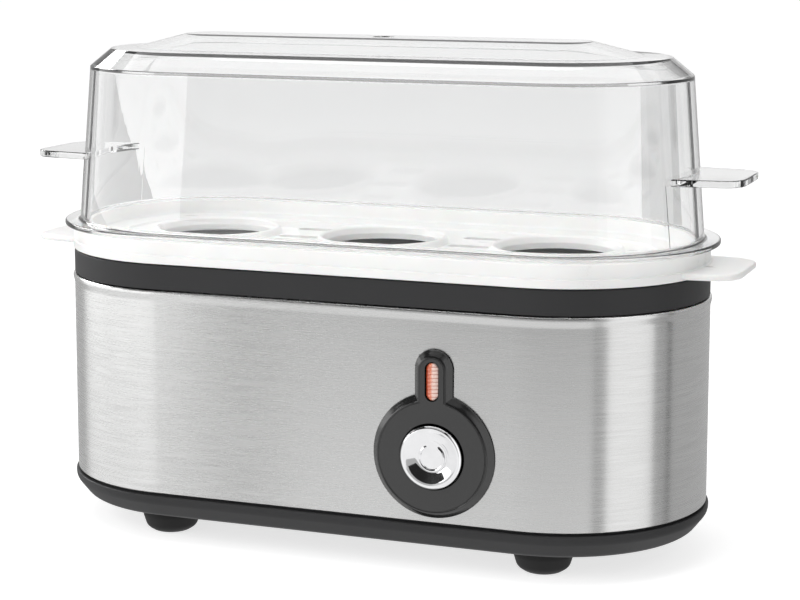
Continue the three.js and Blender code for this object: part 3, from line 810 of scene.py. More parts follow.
def dress(nodes: Iterable[str], stock: Stock, edge: float = 0.15) -> None:
    """Gives CAD nodes a finish and a small rounded edge.

    Args:
        nodes: The nodes that are kept as they are.
        stock: Their finish.
        edge: The width of the rounded edge.
    """
    for name in nodes:
        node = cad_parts[name]
        node.data.materials.clear()
        node.data.materials.append(stock.material)
        bevel = node.modifiers.new("edges", "BEVEL")
        bevel.width = edge * MM
        bevel.segments = 2
        bevel.limit_method = "ANGLE"
        bevel.angle_limit = math.radians(38)
        stock.slot


# ---- Base ----


@dataclass
class Base:
    """The black base moulding with its feet and screws."""

    span: Span
    feet_at: Point = (54.4, 24.0)
    foot_hole: float = 2.8
    floor: float = 2.6
    rim: float = 6.2
    fillet: float = 5.2
    boss_top: float = 15.7
    vent_half: float = 6.2
    vent_rows: Sequence[float] = (-0.7, 5.3, 11.3, 17.3)

    def build(self) -> None:
        """Builds the moulding, the feet and the screws."""
        self._moulding().piece("base_moulding", "cooker", ["base"], Stock.BLACK)
        for i, (x, y) in enumerate(four(*self.feet_at), 1):
            node = f"foot_{i}"
            self._foot(x, y, Span.of(node)).piece(f"rubber_foot_{i}", "cooker", [node], Stock.RUBBER)
        for i, (x, y) in enumerate(four(*SCREWS_AT), 1):
            node = f"base_screw_{i}"
            self._screw(x, y, Span.of(node)).piece(f"long_screw_{i}", "cooker", [node], Stock.ZINC)

    def _moulding(self) -> Solid:
        """The dished base with its rim, bosses, vents and counterbores."""
        bottom, rim_top = self.span.low.z, self.span.high.z
        r = self.span.high.y
        floor, shoulder = bottom + self.floor, rim_top - self.rim
        profile = [
            Corner(0, bottom),
            Corner(r - 9, bottom, 3),
            Corner(r - 3.6, bottom + 0.55, 3.0),
            Corner(r, bottom + self.fillet, 3.4),
            Corner(r, shoulder, 0.35),
            Corner(r - 1.7, shoulder, 0.15),
            Corner(r - 1.7, rim_top, 0.3),
            Corner(r - 3.9, rim_top, 0.3),
            Corner(r - 3.9, floor, 1.2),
            Corner(0, floor),
        ]
        body = Solid.swept(rounded(profile, steps=5))
        bosses = [Solid.rod(POST_RADIUS, floor - 1, self.boss_top, x, y) for x, y in four(*SCREWS_AT)]
        holes = []
        for x, y in four(*SCREWS_AT):
            bore = [(0, bottom - 1), (3.9, bottom - 1), (3.4, bottom + 0.3), (3.4, bottom + 2.7)]
            top = self.boss_top + 1.3
            holes.append(
                Solid.turned([*bore, (PILOT_RADIUS, bottom + 2.7), (PILOT_RADIUS, top), (0, top)], x, y)
            )
        for x, y in four(*self.feet_at):
            holes.append(Solid.rod(self.foot_hole, bottom - 1, floor + 1, x, y))
        slot = oblong(0, 0, self.vent_half, 1.3)
        for x in self.vent_rows:
            vent = [(x + v, -1.5 + u) for u, v in reversed(slot)]
            holes.append(Solid.slab(vent, bottom - 1, floor + 1))
        return body.join(*bosses).cut(*holes)

    def _foot(self, x: float, y: float, span: Span) -> Solid:
        """A domed rubber pad on its barbed stem."""
        r = span.high.x - x
        pad = self.span.low.z - 0.3
        inside = pad + self.floor + 0.6
        profile = [
            Corner(0, span.low.z),
            Corner(5.0, span.low.z, 1.6),
            Corner(7.0, 1.3, 2.6),
            Corner(r, 4.6, 2.4),
            Corner(r, pad, 0.5),
            Corner(2.5, pad),
            Corner(2.5, inside, 0.2),
            Corner(3.4, inside, 0.3),
            Corner(1.8, span.high.z, 0.4),
            Corner(0, span.high.z),
        ]
        return Solid.turned(rounded(profile, steps=5), x, y)

    def _screw(self, x: float, y: float, span: Span) -> Solid:
        """A pan-head screw with a cross recess and its thread."""
        head, seat = span.low.z, span.low.z + 2.1
        root, crest, pitch, thread_end = 1.15, 1.5, 1.1, 25.5
        profile = [
            Corner(0, head),
            Corner(2.6, head, 0.8),
            Corner(3.1, head + 0.9, 0.6),
            Corner(3.1, seat, 0.15),
            Corner(root, seat),
        ]
        for k in range(int((thread_end - seat) / pitch)):
            profile += [Corner(root, seat + 0.3 + pitch * k), Corner(crest, seat + 0.75 + pitch * k)]
        profile += [Corner(root, thread_end + 0.7), Corner(0, span.high.z)]
        body = Solid.turned(rounded(profile), x, y, cuts=24)
        wing, slit = 1.8, 0.42
        across = Solid.block((x - wing, x + wing), (y - slit, y + slit), (head - 1, head + 1.1))
        along = Solid.block((x - slit, x + slit), (y - wing, y + wing), (head - 1, head + 1.1))
        return body.cut(across, along)


# ---- Body ----


@dataclass
class Body:
    """The brushed steel sleeve and the black ring on it."""

    sleeve: Span
    ring: Span
    panel: Span
    button: Vector
    lamp: Vector
    gland: Vector
    sheet: float = 0.7

    def build(self) -> None:
        """Builds the sleeve and the ring."""
        self._sleeve().piece("steel_body", "cooker", ["steel_sleeve"], Stock.STEEL)
        self._ring().piece("ring_moulding", "cooker", ["upper_ring"], Stock.BLACK)

    def _sleeve(self) -> Solid:
        """The sheet sleeve with its rolled lip and its windows."""
        bottom, top = self.sleeve.low.z, self.sleeve.high.z
        lip = self.sleeve.high.y
        r = lip - 0.45
        profile = [
            Corner(r + 0.3, bottom, 0.32),
            Corner(r, top - 2.6, 3.0),
            Corner(lip - 0.05, top - 1.0, 1.6),
            Corner(lip - 0.1, top, 0.55),
            Corner(37.2, top, 0.1),
            Corner(37.2, top - self.sheet, 0.1),
            Corner(r - self.sheet, top - self.sheet, 0.3),
            Corner(r - self.sheet + 0.3, bottom, 0.15),
        ]
        body = Solid.swept(rounded(profile, loop=True))
        front = (-42.0, -38.0)
        lamp, half_width, half_height = self.lamp, 4.2, 6.5
        windows = [bore(10.9, self.button.x, self.button.z, *front)]
        windows.append(
            Solid.block((lamp.x - half_width, lamp.x + half_width), front, (lamp.z - half_height, lamp.z + half_height))
        )
        windows += [bore(1.6, self.button.x + side * STUD_SPREAD, self.button.z, *front) for side in SIDES]
        windows.append(bore(5.3, self.gland.x, self.gland.z, 38, 42))
        return body.cut(*windows)

    def _ring(self) -> Solid:
        """The ring that carries the dish, with its skirt, four screw posts and four lugs."""
        r, top, post_end = self.ring.high.y, self.ring.high.z, self.ring.low.z
        bottom = self.sleeve.high.z + 0.3
        ledge = bottom + 1.8
        profile = [
            Corner(28.3, bottom, 0.2),
            Corner(35.1, bottom),
            Corner(35.1, bottom - 6.3, 0.3),
            Corner(36.8, bottom - 6.3, 0.3),
            Corner(36.8, bottom),
            Corner(r, bottom, 0.25),
            Corner(r, top, 0.5),
            Corner(r - 2.0, top, 0.3),
            Corner(r - 2.0, ledge, 0.4),
            Corner(28.3, ledge, 0.2),
        ]
        body = Solid.swept(rounded(profile, loop=True))
        pilot_top = 34
        posts = [Solid.rod(POST_RADIUS, post_end, bottom + 1, x, y) for x, y in four(*SCREWS_AT)]
        pilots = [Solid.rod(PILOT_RADIUS, post_end - 1, pilot_top, x, y) for x, y in four(*SCREWS_AT)]
        lugs = [Solid.block((x - 5, x + 5), (y - 0.7, y + 0.9), (75.5, 76.9)) for x, y in four(28, 37.3)]
        return body.join(*posts, *lugs).cut(*pilots)


def bore(radius: float, x: float, z: float, near: float, far: float) -> Solid:
    """A round cutter from front to back."""
    return Solid.turned([(0, near), (radius, near), (radius, far), (0, far)], x, z, Axis.FRONT_TO_BACK, 72)


# ---- Water dish ----


@dataclass
class WaterDish:
    """The spun water dish and the seal under its flange."""

    dish: Span
    seal: Span
    sheet: float = 1.2
    stud_x: float = 20.0

    def build(self) -> None:
        """Builds the dish and its seal."""
        self._dish().piece("water_dish", "cooker", ["heating_dish"], Stock.DISH)
        self._seal().piece("flange_seal", "cooker", ["dish_seal"], Stock.SILICONE)

    def _dish(self) -> Solid:
        """The dish with its rolled flange and two studs."""
        top, flange_r = self.dish.high.z, self.dish.high.y
        under, wall = 63.6, 27.2
        inner = wall - self.sheet
        profile = [
            Corner(0, under),
            Corner(wall, under, 4.0),
            Corner(wall, top - 1.0, 0.3),
            Corner(flange_r, top - 1.0, 0.3),
            Corner(flange_r, top, 0.3),
            Corner(inner, top, 1.4),
            Corner(inner, under + self.sheet, 2.8),
            Corner(0, under + self.sheet),
        ]
        body = Solid.swept(rounded(profile, steps=6))
        low = self.dish.low.z
        stud = [(0, low), (1.7, low), (2, low + 0.4), (2, under + 0.6), (0, under + 0.6)]
        return body.join(*[Solid.turned(stud, side * self.stud_x, 0) for side in SIDES])

    def _seal(self) -> Solid:
        """A flat ring with two lips."""
        bottom, top, outer = self.seal.low.z, self.seal.high.z, self.seal.high.y
        inner = outer - 3.6
        profile = [
            Corner(inner, bottom, 0.3),
            Corner(outer, bottom, 0.3),
            Corner(outer, top, 0.3),
            Corner(outer - 1.4, top, 0.2),
            Corner(outer - 1.8, top - 0.4, 0.2),
            Corner(outer - 2.2, top, 0.2),
            Corner(inner, top, 0.3),
        ]
        return Solid.swept(rounded(profile, loop=True, steps=2))


# ---- Egg tray ----


def end_tab(root: Point, tip: Point, corner: float) -> list[Point]:
    """The outline of a tab at the +X end, anticlockwise.

    Args:
        root: How far out and half how wide it is at its root.
        tip: The same at its tip.
        corner: The size of its rounded outer corners.
    """
    (root_x, root_half), (tip_x, tip_half) = root, tip
    start, middle, end = (tip_x - corner, tip_half), (tip_x, tip_half - 1), (tip_x, tip_half - corner - 2)
    bend = []
    for k in range(9):
        t = k / 8
        weights = ((1 - t) ** 2, 2 * t * (1 - t), t * t)
        bend.append(tuple(sum(w * p[i] for w, p in zip(weights, (start, middle, end))) for i in (0, 1)))
    lower = [(x, -y) for x, y in bend]
    side = [(root_x - 20, root_half), (root_x, root_half)]
    return [(x, -y) for x, y in side] + lower + bend[::-1] + side[::-1]


@dataclass
class EggTray:
    """The white lift-off tray with three ringed seats, steam slots and two end tabs."""

    span: Span
    pitch: float = 50.0
    hole: float = 16.3
    ring: float = 18.2

    def build(self) -> None:
        """Builds the tray."""
        self._moulding().piece("tray_moulding", "tray", ["egg_tray"], Stock.WHITE)

    def _moulding(self) -> Solid:
        """The tray as one moulding."""
        r, bead = self.span.high.y, self.span.high.z
        well, floor, seat_top = 81.0, 81.6, 82.8
        bottom, step, rim = 77.8, 80.0, 84.1
        profile = [
            Corner(0, well - 1.6),
            Corner(34.8, well - 1.6, 0.3),
            Corner(34.8, self.span.low.z, 0.3),
            Corner(36.2, self.span.low.z, 0.3),
            Corner(36.2, rim - 1.7, 0.3),
            Corner(38, rim - 1.7, 0.3),
            Corner(38, bottom, 0.2),
            Corner(r, bottom, 0.3),
            Corner(r, step, 0.45),
            Corner(r - 0.45, step + 0.1, 0.3),
            Corner(r - 0.5, rim, 0.55),
            Corner(35.55, rim, 0.25),
            Corner(35.5, bead, 0.35),
            Corner(34.6, bead, 0.35),
            Corner(34.4, floor, 0.8),
            Corner(25.9, floor, 0.3),
            Corner(25.5, well, 0.3),
            Corner(0, well),
        ]
        body = Solid.swept(rounded(profile))
        keep = [(0, bottom - 1), (38.6, bottom - 1), (38.6, step + 1), (0, step + 1)]
        outline = end_tab((82, 17), (self.span.high.x, 15.5), 6.5)
        for turn in (0, 180):
            tab = Solid.slab(outline, bottom + 0.3, step - 0.15, 0.7).spun(turn)
            body.join(tab.cut(Solid.swept(keep)))
        for place in (-1, 0, 1):
            seat = [
                Corner(0, well - 1.2),
                Corner(self.ring, well - 1.2),
                Corner(self.ring, well + 0.2, 0.3),
                Corner(self.ring - 0.5, seat_top, 0.6),
                Corner(0, seat_top),
            ]
            body.join(Solid.turned(rounded(seat), place * self.pitch, 0, cuts=96))
        for place in (-1, 0, 1):
            narrow, wide = self.hole - 0.6, self.hole + 0.5
            egg = [
                Corner(0, well - 4),
                Corner(narrow, well - 4),
                Corner(narrow, well, 0.6),
                Corner(wide - 0.3, seat_top - 0.35, 0.4),
                Corner(wide + 1.0, seat_top + 0.4),
                Corner(0, seat_top + 0.4),
            ]
            body.cut(Solid.turned(rounded(egg), place * self.pitch, 0, cuts=96))
        for side in SIDES:
            for row in (-14, 0, 14):
                slot = oblong(side * self.pitch / 2, row, 4, 1.9)
                body.cut(Solid.slab(slot, well - 3, floor + 2))
        return body


# ---- Lid ----


@dataclass
class Lid:
    """The clear lift-off lid: a stepped top, a vent, two finger tabs and a flange."""

    span: Span
    wall: float = 1.9
    tab_low: float = 101.8
    tab_high: float = 103.7
    tab_root: float = 15.6

    def build(self) -> None:
        """Builds the lid."""
        self._shell().piece("lid_shell", "lid", ["lid"], Stock.CLEAR, crease=40)

    def _shell(self) -> Solid:
        """The lid as one moulding."""
        under, top = self.span.low.z, self.span.high.z
        flange_r = self.span.high.y
        flange = under + 1.3
        rim, crease = top - 3.9, top - 8.7
        outside = [
            Corner(0, under),
            Corner(flange_r, under, 0.35),
            Corner(flange_r, flange, 0.5),
            Corner(37.95, flange, 0.9),
            Corner(34.3, crease, 0.5),
            Corner(28.5, rim, 0.4),
            Corner(21.2, rim + 0.35, 1.2),
            Corner(7.4, top, 1.6),
            Corner(0, top),
        ]
        inside = [
            Corner(0, under - 1),
            Corner(36.15, under - 1),
            Corner(36.0, flange, 0.4),
            Corner(34.4 - self.wall, crease - 1, 0.6),
            Corner(27.2, rim - self.wall, 0.7),
            Corner(21.0, rim + 0.3 - self.wall, 1.0),
            Corner(7.0, top - self.wall, 1.4),
            Corner(0, top - self.wall),
        ]
        body = Solid.swept(rounded(outside, steps=5), cuts=72)
        outline = end_tab((82, self.tab_root), (101.9, 13.8), 5)
        for turn in (0, 180):
            body.join(Solid.slab(outline, self.tab_low, self.tab_high, 0.35).spun(turn))
        body.join(*self._witness_lines())
        vent = [Corner(0, top - 5), Corner(2.6, top - 5), Corner(2.6, top - 0.4, 0.3), Corner(3.2, top + 0.3),
                Corner(0, top + 0.3)]
        body.cut(Solid.swept(rounded(inside, steps=5), cuts=72), Solid.turned(rounded(vent), 0, 0))
        return body.join(*self._steam_marks())

    def _wall_at(self, z: float) -> float:
        """How far out the outer wall is at a height."""
        low, high = self.span.low.z + 1.3, self.span.high.z - 8.7
        return 37.95 + (34.3 - 37.95) * (z - low) / (high - low)

    def _witness_lines(self) -> list[Solid]:
        """A thin line down the wall beside each tab, where the tool halves meet."""
        lines = []
        for x_side in SIDES:
            for y_side in SIDES:
                points = []
                for z in (self.span.low.z + 1.0, self.tab_low + 0.3):
                    out = self._wall_at(z) - 0.02
                    y = self.tab_root + 1.6
                    points.append((x_side * (STRAIGHT + math.sqrt(out * out - y * y)), y_side * y, z))
                lines.append(Solid.tube(points, 0.14, 8))
        return lines

    def _steam_marks(self) -> list[Solid]:
        """Three raised steam waves beside the vent."""
        marks = []
        z = self.span.high.z - 0.22
        for x in (-22.0, -16.0, -10.0):
            line = [(x + 1.1 * math.sin(math.tau * k / 20), -6.5 + 13.0 * k / 20, z) for k in range(21)]
            marks.append(Solid.tube(line, 0.21, 8))
        return marks


# ---- Control panel ----


@dataclass
class ControlPanel:
    """The black keyhole panel with its chrome button and its amber lens."""

    panel: Span
    button: Span
    lens: Span
    gap: float = 0.24

    def build(self) -> None:
        """Builds the panel, the button and the lens."""
        self._panel().piece("panel_moulding", "cooker", ["control_panel"], Stock.SATIN)
        self._button().piece("button_cap", "button", ["power_button"], Stock.CHROME, crease=40)
        self._lens().piece("ribbed_lens", "cooker", ["indicator_lens"], Stock.AMBER, crease=50)

    @property
    def _centre(self) -> Vector:
        """The middle of the button."""
        return self.button.middle

    @property
    def _cap(self) -> float:
        """The radius of the button's cap."""
        return (self.button.high.x - self.button.low.x) / 2

    def _keyhole(self, inwards: float) -> list[Point]:
        """The panel's outline in X and Z, anticlockwise, drawn in by a distance."""
        centre = self._centre
        r = (self.panel.high.x - self.panel.low.x) / 2 - inwards
        half = 5.15 - inwards * 0.9
        top = self.panel.high.z - inwards
        joint = math.degrees(math.acos(half / r))
        disc = arc(centre.x, centre.z, r, 180 - joint, 360 + joint, 72)
        return disc + arc(centre.x, top - half, half, 0, 180, 24)

    def _panel(self) -> Solid:
        """The keyhole plate with a stepped edge, a button tube, a lamp box and two studs."""
        front, back = self.panel.low.y, -40.5
        centre, lamp = self._centre, self.lens.middle
        levels = [
            (0.0, back),
            (0.0, front + 1.6),
            (0.1, front + 1.45),
            (0.35, front + 1.25),
            (0.85, front + 0.75),
            (1.35, front + 0.25),
            (1.6, front + 0.06),
            (1.8, front + 0.02),
            (1.95, front + 0.14),
            (2.1, front + 0.14),
            (2.2, front),
        ]
        rings = [[(x, y, z) for x, z in self._keyhole(inwards)] for inwards, y in levels]
        plate = Solid.lofted(rings)
        behind = -33.6
        plate.join(bore(10.4, centre.x, centre.z, back - 0.5, behind))
        box = Solid.block((lamp.x - 3.9, lamp.x + 3.9), (back - 0.5, -37), (lamp.z - 6.2, lamp.z + 6.2))
        plate.join(box)
        stud = [Corner(0, back - 0.5), Corner(1.2, back - 0.5), Corner(1.2, -37, 0.4), Corner(0, -37)]
        for side in SIDES:
            x = centre.x + side * STUD_SPREAD
            plate.join(Solid.turned(rounded(stud), x, centre.z, Axis.FRONT_TO_BACK, 32))
        opening = self._cap + self.gap
        mouth = [
            Corner(0, front - 1),
            Corner(opening + 1.2, front - 1),
            Corner(opening, front + 0.3, 0.35),
            Corner(opening, -31),
            Corner(0, -31),
        ]
        plate.cut(Solid.turned(rounded(mouth), centre.x, centre.z, Axis.FRONT_TO_BACK, 96))
        return plate.cut(self._lens_block(0.3, front - 1, -36))

    def _lens_block(self, gap: float, near: float, far: float) -> Solid:
        """An upright slot with round ends that is larger than the lens by a gap."""
        window = (3.2, 9.8)
        half, radius = (window[1] - window[0]) / 2, window[0] / 2 + gap
        slot = oblong(0, 0, half, radius, 12)
        at = self.lens.middle
        rings = [[(at.x - v, y, at.z + u) for u, v in slot] for y in (near, far)]
        return Solid.lofted(rings)

    def _button(self) -> Solid:
        """A hollow chrome cap with a raised rim, a dished face, a power mark and a stem."""
        front, end = self.button.low.y, self.button.high.y
        r, centre = self._cap, self._centre
        dished = front + 1.5
        profile = [
            Corner(0, dished + 0.05),
            Corner(4.3, dished, 1.8),
            Corner(6.7, front + 0.1, 1.2),
            Corner(7.3, front, 0.4),
            Corner(7.9, front, 0.3),
            Corner(r, front + 0.5, 0.5),
            Corner(r, -38.4, 0.2),
            Corner(7.2, -38.4, 0.2),
            Corner(7.2, front + 2.2, 0.5),
            Corner(2.4, front + 2.2, 0.4),
            Corner(2.4, end, 0.3),
            Corner(0, end),
        ]
        cap = Solid.turned(rounded(profile, steps=9), centre.x, centre.z, Axis.FRONT_TO_BACK, 96)
        y = dished
        ring = arc(centre.x, centre.z - 0.3, 3.3, 122, 418, 40)
        cap.join(Solid.tube([(x, y - 0.16, z) for x, z in ring], 0.34, 8))
        bar = [(centre.x, y - 0.16, centre.z + 0.4 + 4.0 * k / 6) for k in range(7)]
        return cap.join(Solid.tube(bar, 0.34, 8))

    def _lens(self) -> Solid:
        """A crowned amber window with fine ribs across it, and its flange."""
        front, back = self.lens.low.y, self.lens.high.y
        at = self.lens.middle
        half_width, half_height = 1.6, 4.9
        rows, across = 88, 10
        rings = []
        for i in range(rows + 1):
            v = -1 + 2 * i / rows
            z = at.z + v * half_height
            past = max(0.0, (abs(v) * half_height - (half_height - half_width)) / half_width)
            bow = math.sqrt(max(0.0, 1 - past ** 2))
            wide = max(0.12, half_width * bow)
            rib = 0.16 * abs(math.sin(math.pi * v * half_height / 0.98))
            crown = []
            for k in range(across + 1):
                u = -1 + 2 * k / across
                height = 0.75 * (1 - u * u) * min(1.0, bow * 1.4)
                crown.append((at.x + u * wide, front + 0.78 - height + rib * (1 - u ** 4), z))
            rings.append([*crown, (at.x + wide, back - 0.6, z), (at.x - wide, back - 0.6, z)])
        window = Solid.lofted(rings)
        flange = Solid.block((at.x - 3.2, at.x + 3.2), (back - 0.8, back), (at.z - 5.8, at.z + 5.8))
        return window.join(flange)


# ---- Cord bush ----


@dataclass
class CordBush:
    """The rubber bush at the back."""

    span: Span

    def build(self) -> None:
        """Builds the bush with its collar."""
        x, z = self.span.middle.x, self.span.middle.z
        out, r = self.span.high.y, 4.9
        profile = [
            Corner(3.3, self.span.low.y),
            Corner(r, self.span.low.y, 0.3),
            Corner(r, 40.6),
            Corner(6.8, 40.6, 0.3),
            Corner(6.8, 41.7, 0.6),
            Corner(5.9, out - 0.5, 0.4),
            Corner(5.4, out, 0.3),
            Corner(4.0, out, 0.4),
            Corner(3.3, out - 0.8, 0.4),
        ]
        bush = Solid.turned(rounded(profile, loop=True), x, z, Axis.FRONT_TO_BACK, 64)
        bush.piece("cord_bush", "cooker", ["cord_gland"], Stock.RUBBER)


# ---- Working parts inside ----


@dataclass
class WorkingParts:
    """The heater, its controls, the switch, the lamp and the leads, which keep their CAD shapes."""

    def build(self) -> None:
        """Dresses every node that is kept."""
        numbered = ("element_clamp", "clamp_nut", "thermostat_screw", "panel_nut", "bracket_screw")
        zinc = [f"{name}_{i}" for name in numbered for i in (1, 2)]
        dress([*zinc, "fuse_clip", "switch_bracket"], Stock.ZINC)
        dress(["heat_plate"], Stock.DISH)
        dress(["heating_element"], Stock.SHEATH, 0.3)
        dress(["element_terminal_1", "element_terminal_2"], Stock.BRASS, 0.1)
        dress(["thermostat", "thermal_fuse", "terminal_block"], Stock.BEIGE, 0.25)
        dress(["switch_plunger", "lamp_holder"], Stock.WHITE, 0.25)
        dress(["switch_housing", "gland_nut"], Stock.DARK, 0.25)
        dress(["indicator_lamp"], Stock.GLASS, 0.1)
        red = ["lead_block_to_switch", "lead_block_to_thermostat", "lead_fuse_to_element"]
        dress(red, Stock.RED, 0.1)
        dress(["lead_switch_to_element", "lead_thermostat_to_fuse"], Stock.BLUE, 0.1)
        LOG.info("working parts dressed")
        self._spring(Span.of("switch_spring"))

    @staticmethod
    def _spring(span: Span) -> None:
        """The coil round the button's stem, which rides on the button."""
        wire, turns, steps, travel = 0.4, 4, 144, 2.2
        centre = span.middle
        r = (span.high.x - span.low.x) / 2 - wire
        start, end = span.low.y + wire, span.high.y - wire
        coil = []
        for k in range(steps + 1):
            angle, y = math.tau * turns * k / steps, start + (end - start) * k / steps
            coil.append((centre.x + r * math.cos(angle), y, centre.z + r * math.sin(angle)))
        made = Solid.tube(coil, wire, 10).piece("coil_spring", "button", ["switch_spring"], Stock.ZINC)
        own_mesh(made)


# ---- Studio ----


@dataclass(frozen=True)
class Viewpoint:
    """Where the camera stands and looks, in millimetres and degrees."""

    place: Sequence[float] = (206.45, -538.1, 169.28)
    turn: float = 20.53
    dip: float = 10.3
    roll: float = 0.09
    lens: float = 94.92

    def build(self) -> None:
        """Makes the scene's camera."""
        data = bpy.data.cameras.new("camera")
        data.lens = self.lens
        data.sensor_width = 36.0
        data.clip_start, data.clip_end = 0.01, 50.0
        camera = bpy.data.objects.new("camera", data)
        bpy.context.scene.collection.objects.link(camera)
        turn = Matrix.Rotation(math.radians(self.turn), 4, "Z")
        dip = Matrix.Rotation(math.radians(90 - self.dip), 4, "X")
        roll = Matrix.Rotation(math.radians(self.roll), 4, "Z")
        camera.matrix_world = Matrix.Translation(Vector(self.place) * MM) @ turn @ dip @ roll
        bpy.context.scene.camera = camera


@dataclass(frozen=True)
class Card:
    """A curved card round the object that only shows in its shine: its bearings, height and brightness.

    Bearings are in degrees from straight in front of the object, positive towards its right-hand end. A card
    that leans has its top turned by that many degrees. One that is seen through shows behind clear plastic.
    """

    start: float
    end: float
    level: float
    low: float = -420.0
    high: float = 520.0
    radius: float = 480.0
    lean: float = 0.0
    through: bool = False
    shine: bool = True

    @classmethod
    def veil(cls, start: float, end: float, level: float, lean: float = 0.0) -> "Card":
        """A card behind the object that is only seen through the clear lid."""
        return cls(start, end, level, low=-40, high=160, radius=500, lean=lean, through=True, shine=False)


@dataclass(frozen=True)
class Pane:
    """A flat card above or below the object, seen in its shine: two corners, a height, a brightness."""

    near: Point
    far: Point
    height: float
    level: float


@dataclass(frozen=True)
class SoftBox:
    """A soft light: where it hangs, what it points at, its size and its power in watts."""

    name: str
    place: Sequence[float]
    size: Point
    power: float
    shine: bool = True


@dataclass(frozen=True)
class Glow(Finish):
    """A plain card or floor that gives and takes soft light."""

    level: float = 1.0
    paint: float = 0.0

    def surface(self, bench: Bench) -> Wire:
        """Wires the shader."""
        return shader(
            bench,
            {
                "Base Color": (self.paint, self.paint, self.paint),
                "Roughness": 0.9,
                "Specular IOR Level": 0.0,
                "Emission Color": (1.0, 1.0, 1.0),
                "Emission Strength": self.level,
            },
        )


@dataclass(frozen=True)
class Sweep(Finish):
    """A pale floor that is bright to the camera and calmer through the clear lid."""

    level: float = 0.72
    through: float = 0.5
    paint: float = 0.6

    def surface(self, bench: Bench) -> Wire:
        """Wires the shader."""
        camera = bench.node("ShaderNodeLightPath", {}, {}, 0)
        inputs = {
            "Base Color": (self.paint, self.paint, self.paint),
            "Roughness": 0.9,
            "Specular IOR Level": 0.0,
            "Emission Color": (1.0, 1.0, 1.0),
            "Emission Strength": camera * (self.level - self.through) + self.through,
        }
        return shader(bench, inputs)


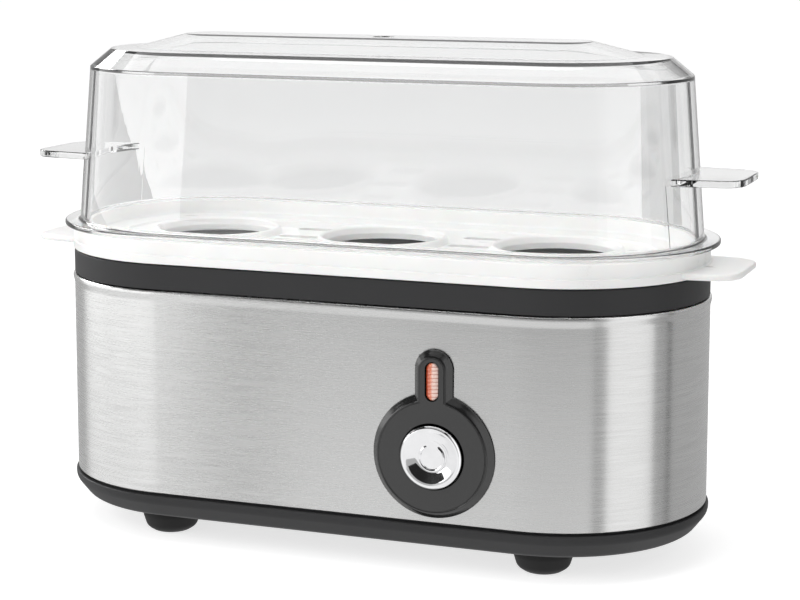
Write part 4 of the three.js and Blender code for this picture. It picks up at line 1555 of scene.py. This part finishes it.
@dataclass
class Studio:
    """A pale floor, soft lights, and the cards that shape the shine."""

    cards: Sequence[Card] = (
        Card(-98, -24, 0.9, high=70, lean=-6),
        Card(-98, -21, 2.3, low=70, high=215, lean=-8),
        Card(-24, -16, 1.0, high=-20),
        Card(-24, -16, 0.66, low=-20, high=70),
        Card(-16, 46, 0.95, high=-20),
        Card(-16, 46, 0.46, low=-20, high=95),
        Card(-29, 48, 0.02, low=95, high=215, radius=476),
        Card(-100, 48, 0.02, low=215, high=800, radius=476),
        Card(-125, -88, 9.0, low=230, high=400, radius=470),
        Card(-74, -62, 3.0, low=250, high=350, radius=470),
        Card(55, 89, 1.08),
        Card(89, 168, 0.47),
        Card(101.2, 103.8, 0.0, radius=470),
        Card(-134, -98, 0.48),
        Card(-168, -136, 0.95, high=200),
        Card(138, 222, 1.0, low=150, high=900, radius=640),
        Card.veil(146, 156, 0.0),
        Card.veil(-120, -114, 0.0),
        Card.veil(-150.5, -136, 0.52, lean=18),
        Card.veil(-181, -176.2, 0.66),
        Card.veil(-183.5, -181, 0.5),
        Card(-180, 180, 0.85, low=-10, high=5000, radius=6000, through=True, shine=False),
    )
    panes: Sequence[Pane] = (
        Pane((-1200, -200), (800, 900), 1000.0, 2.3),
        Pane((-480, -480), (480, 480), -420.0, 0.95),
    )
    lights: Sequence[SoftBox] = (
        SoftBox("overhead", (-100, -230, 1050), (700, 620), 3.0, False),
        SoftBox("front_left", (-700, -800, 700), (900, 900), 6.5),
        SoftBox("front_right", (800, -500, 600), (500, 500), 0.5, False),
    )
    floor_radius: float = 9000.0
    room: float = 0.48

    def build(self) -> None:
        """Builds the floor, the cards, the lights and the room."""
        bpy.context.scene.view_settings.view_transform = "Standard"
        self._floor()
        for i, card in enumerate(self.cards, 1):
            self._card(f"card_{i}", card)
        for i, pane in enumerate(self.panes, 1):
            self._pane(f"pane_{i}", pane)
        for light in self.lights:
            self._light(light)
        self._room()

    def _stand(self, name: str, vertices: Sequence[Sequence[float]], faces: Sequence[Sequence[int]],
               finish: Finish) -> bpy.types.Object:
        """Adds a mesh that isn't part of the object."""
        mesh = bpy.data.meshes.new(name)
        mesh.from_pydata([Vector(vertex) * MM for vertex in vertices], [], faces)
        made = bpy.data.objects.new(name, mesh)
        mesh.materials.append(finish.material())
        bpy.context.scene.collection.objects.link(made)
        made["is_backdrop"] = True
        return made

    def _floor(self) -> None:
        """A wide round floor just under the feet."""
        rim = [(*point, -0.05) for point in arc(0, 0, self.floor_radius, 0, 354, 59)]
        floor = self._stand("floor", rim, [tuple(range(len(rim)))], Sweep("floor_paint"))
        floor.visible_glossy = False

    def _card(self, name: str, card: Card) -> None:
        """A curved card that the camera and the floor don't see."""
        steps = max(1, round(abs(card.end - card.start) / 4))
        start, end = card.start - 90, card.end - 90
        lower = arc(0, 0, card.radius, start, end, steps)
        upper = arc(0, 0, card.radius, start + card.lean, end + card.lean, steps)
        vertices = [(x, y, card.low) for x, y in lower] + [(x, y, card.high) for x, y in upper]
        count = len(lower)
        faces = [(k, k + 1, count + k + 1, count + k) for k in range(count - 1)]
        made = self._stand(name, vertices, faces, Glow(f"{name}_paint", card.level))
        self._hide(made)
        made.visible_transmission = card.through
        made.visible_glossy = card.shine

    def _pane(self, name: str, pane: Pane) -> None:
        """A flat card that only shows in the shine."""
        (x0, y0), (x1, y1) = pane.near, pane.far
        vertices = [(x, y, pane.height) for x, y in ((x0, y0), (x1, y0), (x1, y1), (x0, y1))]
        made = self._stand(name, vertices, [(0, 1, 2, 3)], Glow(f"{name}_paint", pane.level))
        self._hide(made)
        made.visible_transmission = False

    @staticmethod
    def _hide(made: bpy.types.Object) -> None:
        """Keeps a card from the camera and from lighting anything softly."""
        made.visible_camera = False
        made.visible_diffuse = False
        made.visible_shadow = False

    def _light(self, light: SoftBox) -> None:
        """A soft area light aimed at the object."""
        data = bpy.data.lights.new(light.name, "AREA")
        data.shape = "RECTANGLE"
        data.size, data.size_y = light.size[0] * MM, light.size[1] * MM
        data.energy = light.power
        made = bpy.data.objects.new(light.name, data)
        bpy.context.scene.collection.objects.link(made)
        made.location = Vector(light.place) * MM
        made.rotation_euler = (Vector((0, 0, 70)) * MM - made.location).to_track_quat("-Z", "Y").to_euler()
        made.visible_camera = False
        made.visible_glossy = light.shine

    def _room(self) -> None:
        """A pale room: plain white behind the floor, softer where it only lights the object."""
        world = bpy.data.worlds.new("room")
        world.use_nodes = True
        bpy.context.scene.world = world
        bench = Bench(world.node_tree)
        seen = bench.node("ShaderNodeLightPath", {}, {}, 0)
        level = seen * (1.0 - self.room) + self.room
        room = bench.node("ShaderNodeBackground", {}, {"Color": (1.0, 1.0, 1.0), "Strength": level})
        bench.finish("ShaderNodeOutputWorld", room)


# ---- Assembly ----


def write_sizes() -> None:
    """Works out the CAD box and the finished model's box, in metres, without keeping them."""
    boxes = {"cad": CAD_BOX, "visual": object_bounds()}
    {name: [list(corner) for corner in box] for name, box in boxes.items()}


def main() -> None:
    """Builds the camera, the studio and every sub-assembly."""
    logging.basicConfig(level=logging.INFO, format="%(name)s %(message)s")
    Viewpoint().build()
    Studio().build()
    button, lens = Span.of("power_button"), Span.of("indicator_lens")
    panel, gland = Span.of("control_panel"), Span.of("cord_gland")
    assemblies: list[Callable[[], None]] = [
        Base(Span.of("base")).build,
        Body(
            Span.of("steel_sleeve"), Span.of("upper_ring"), panel, button.middle, lens.middle, gland.middle
        ).build,
        WaterDish(Span.of("heating_dish"), Span.of("dish_seal")).build,
        EggTray(Span.of("egg_tray")).build,
        Lid(Span.of("lid")).build,
        ControlPanel(panel, button, lens).build,
        CordBush(gland).build,
        WorkingParts().build,
    ]
    for build in assemblies:
        build()
    write_sizes()


if __name__ == "__main__":
    main()
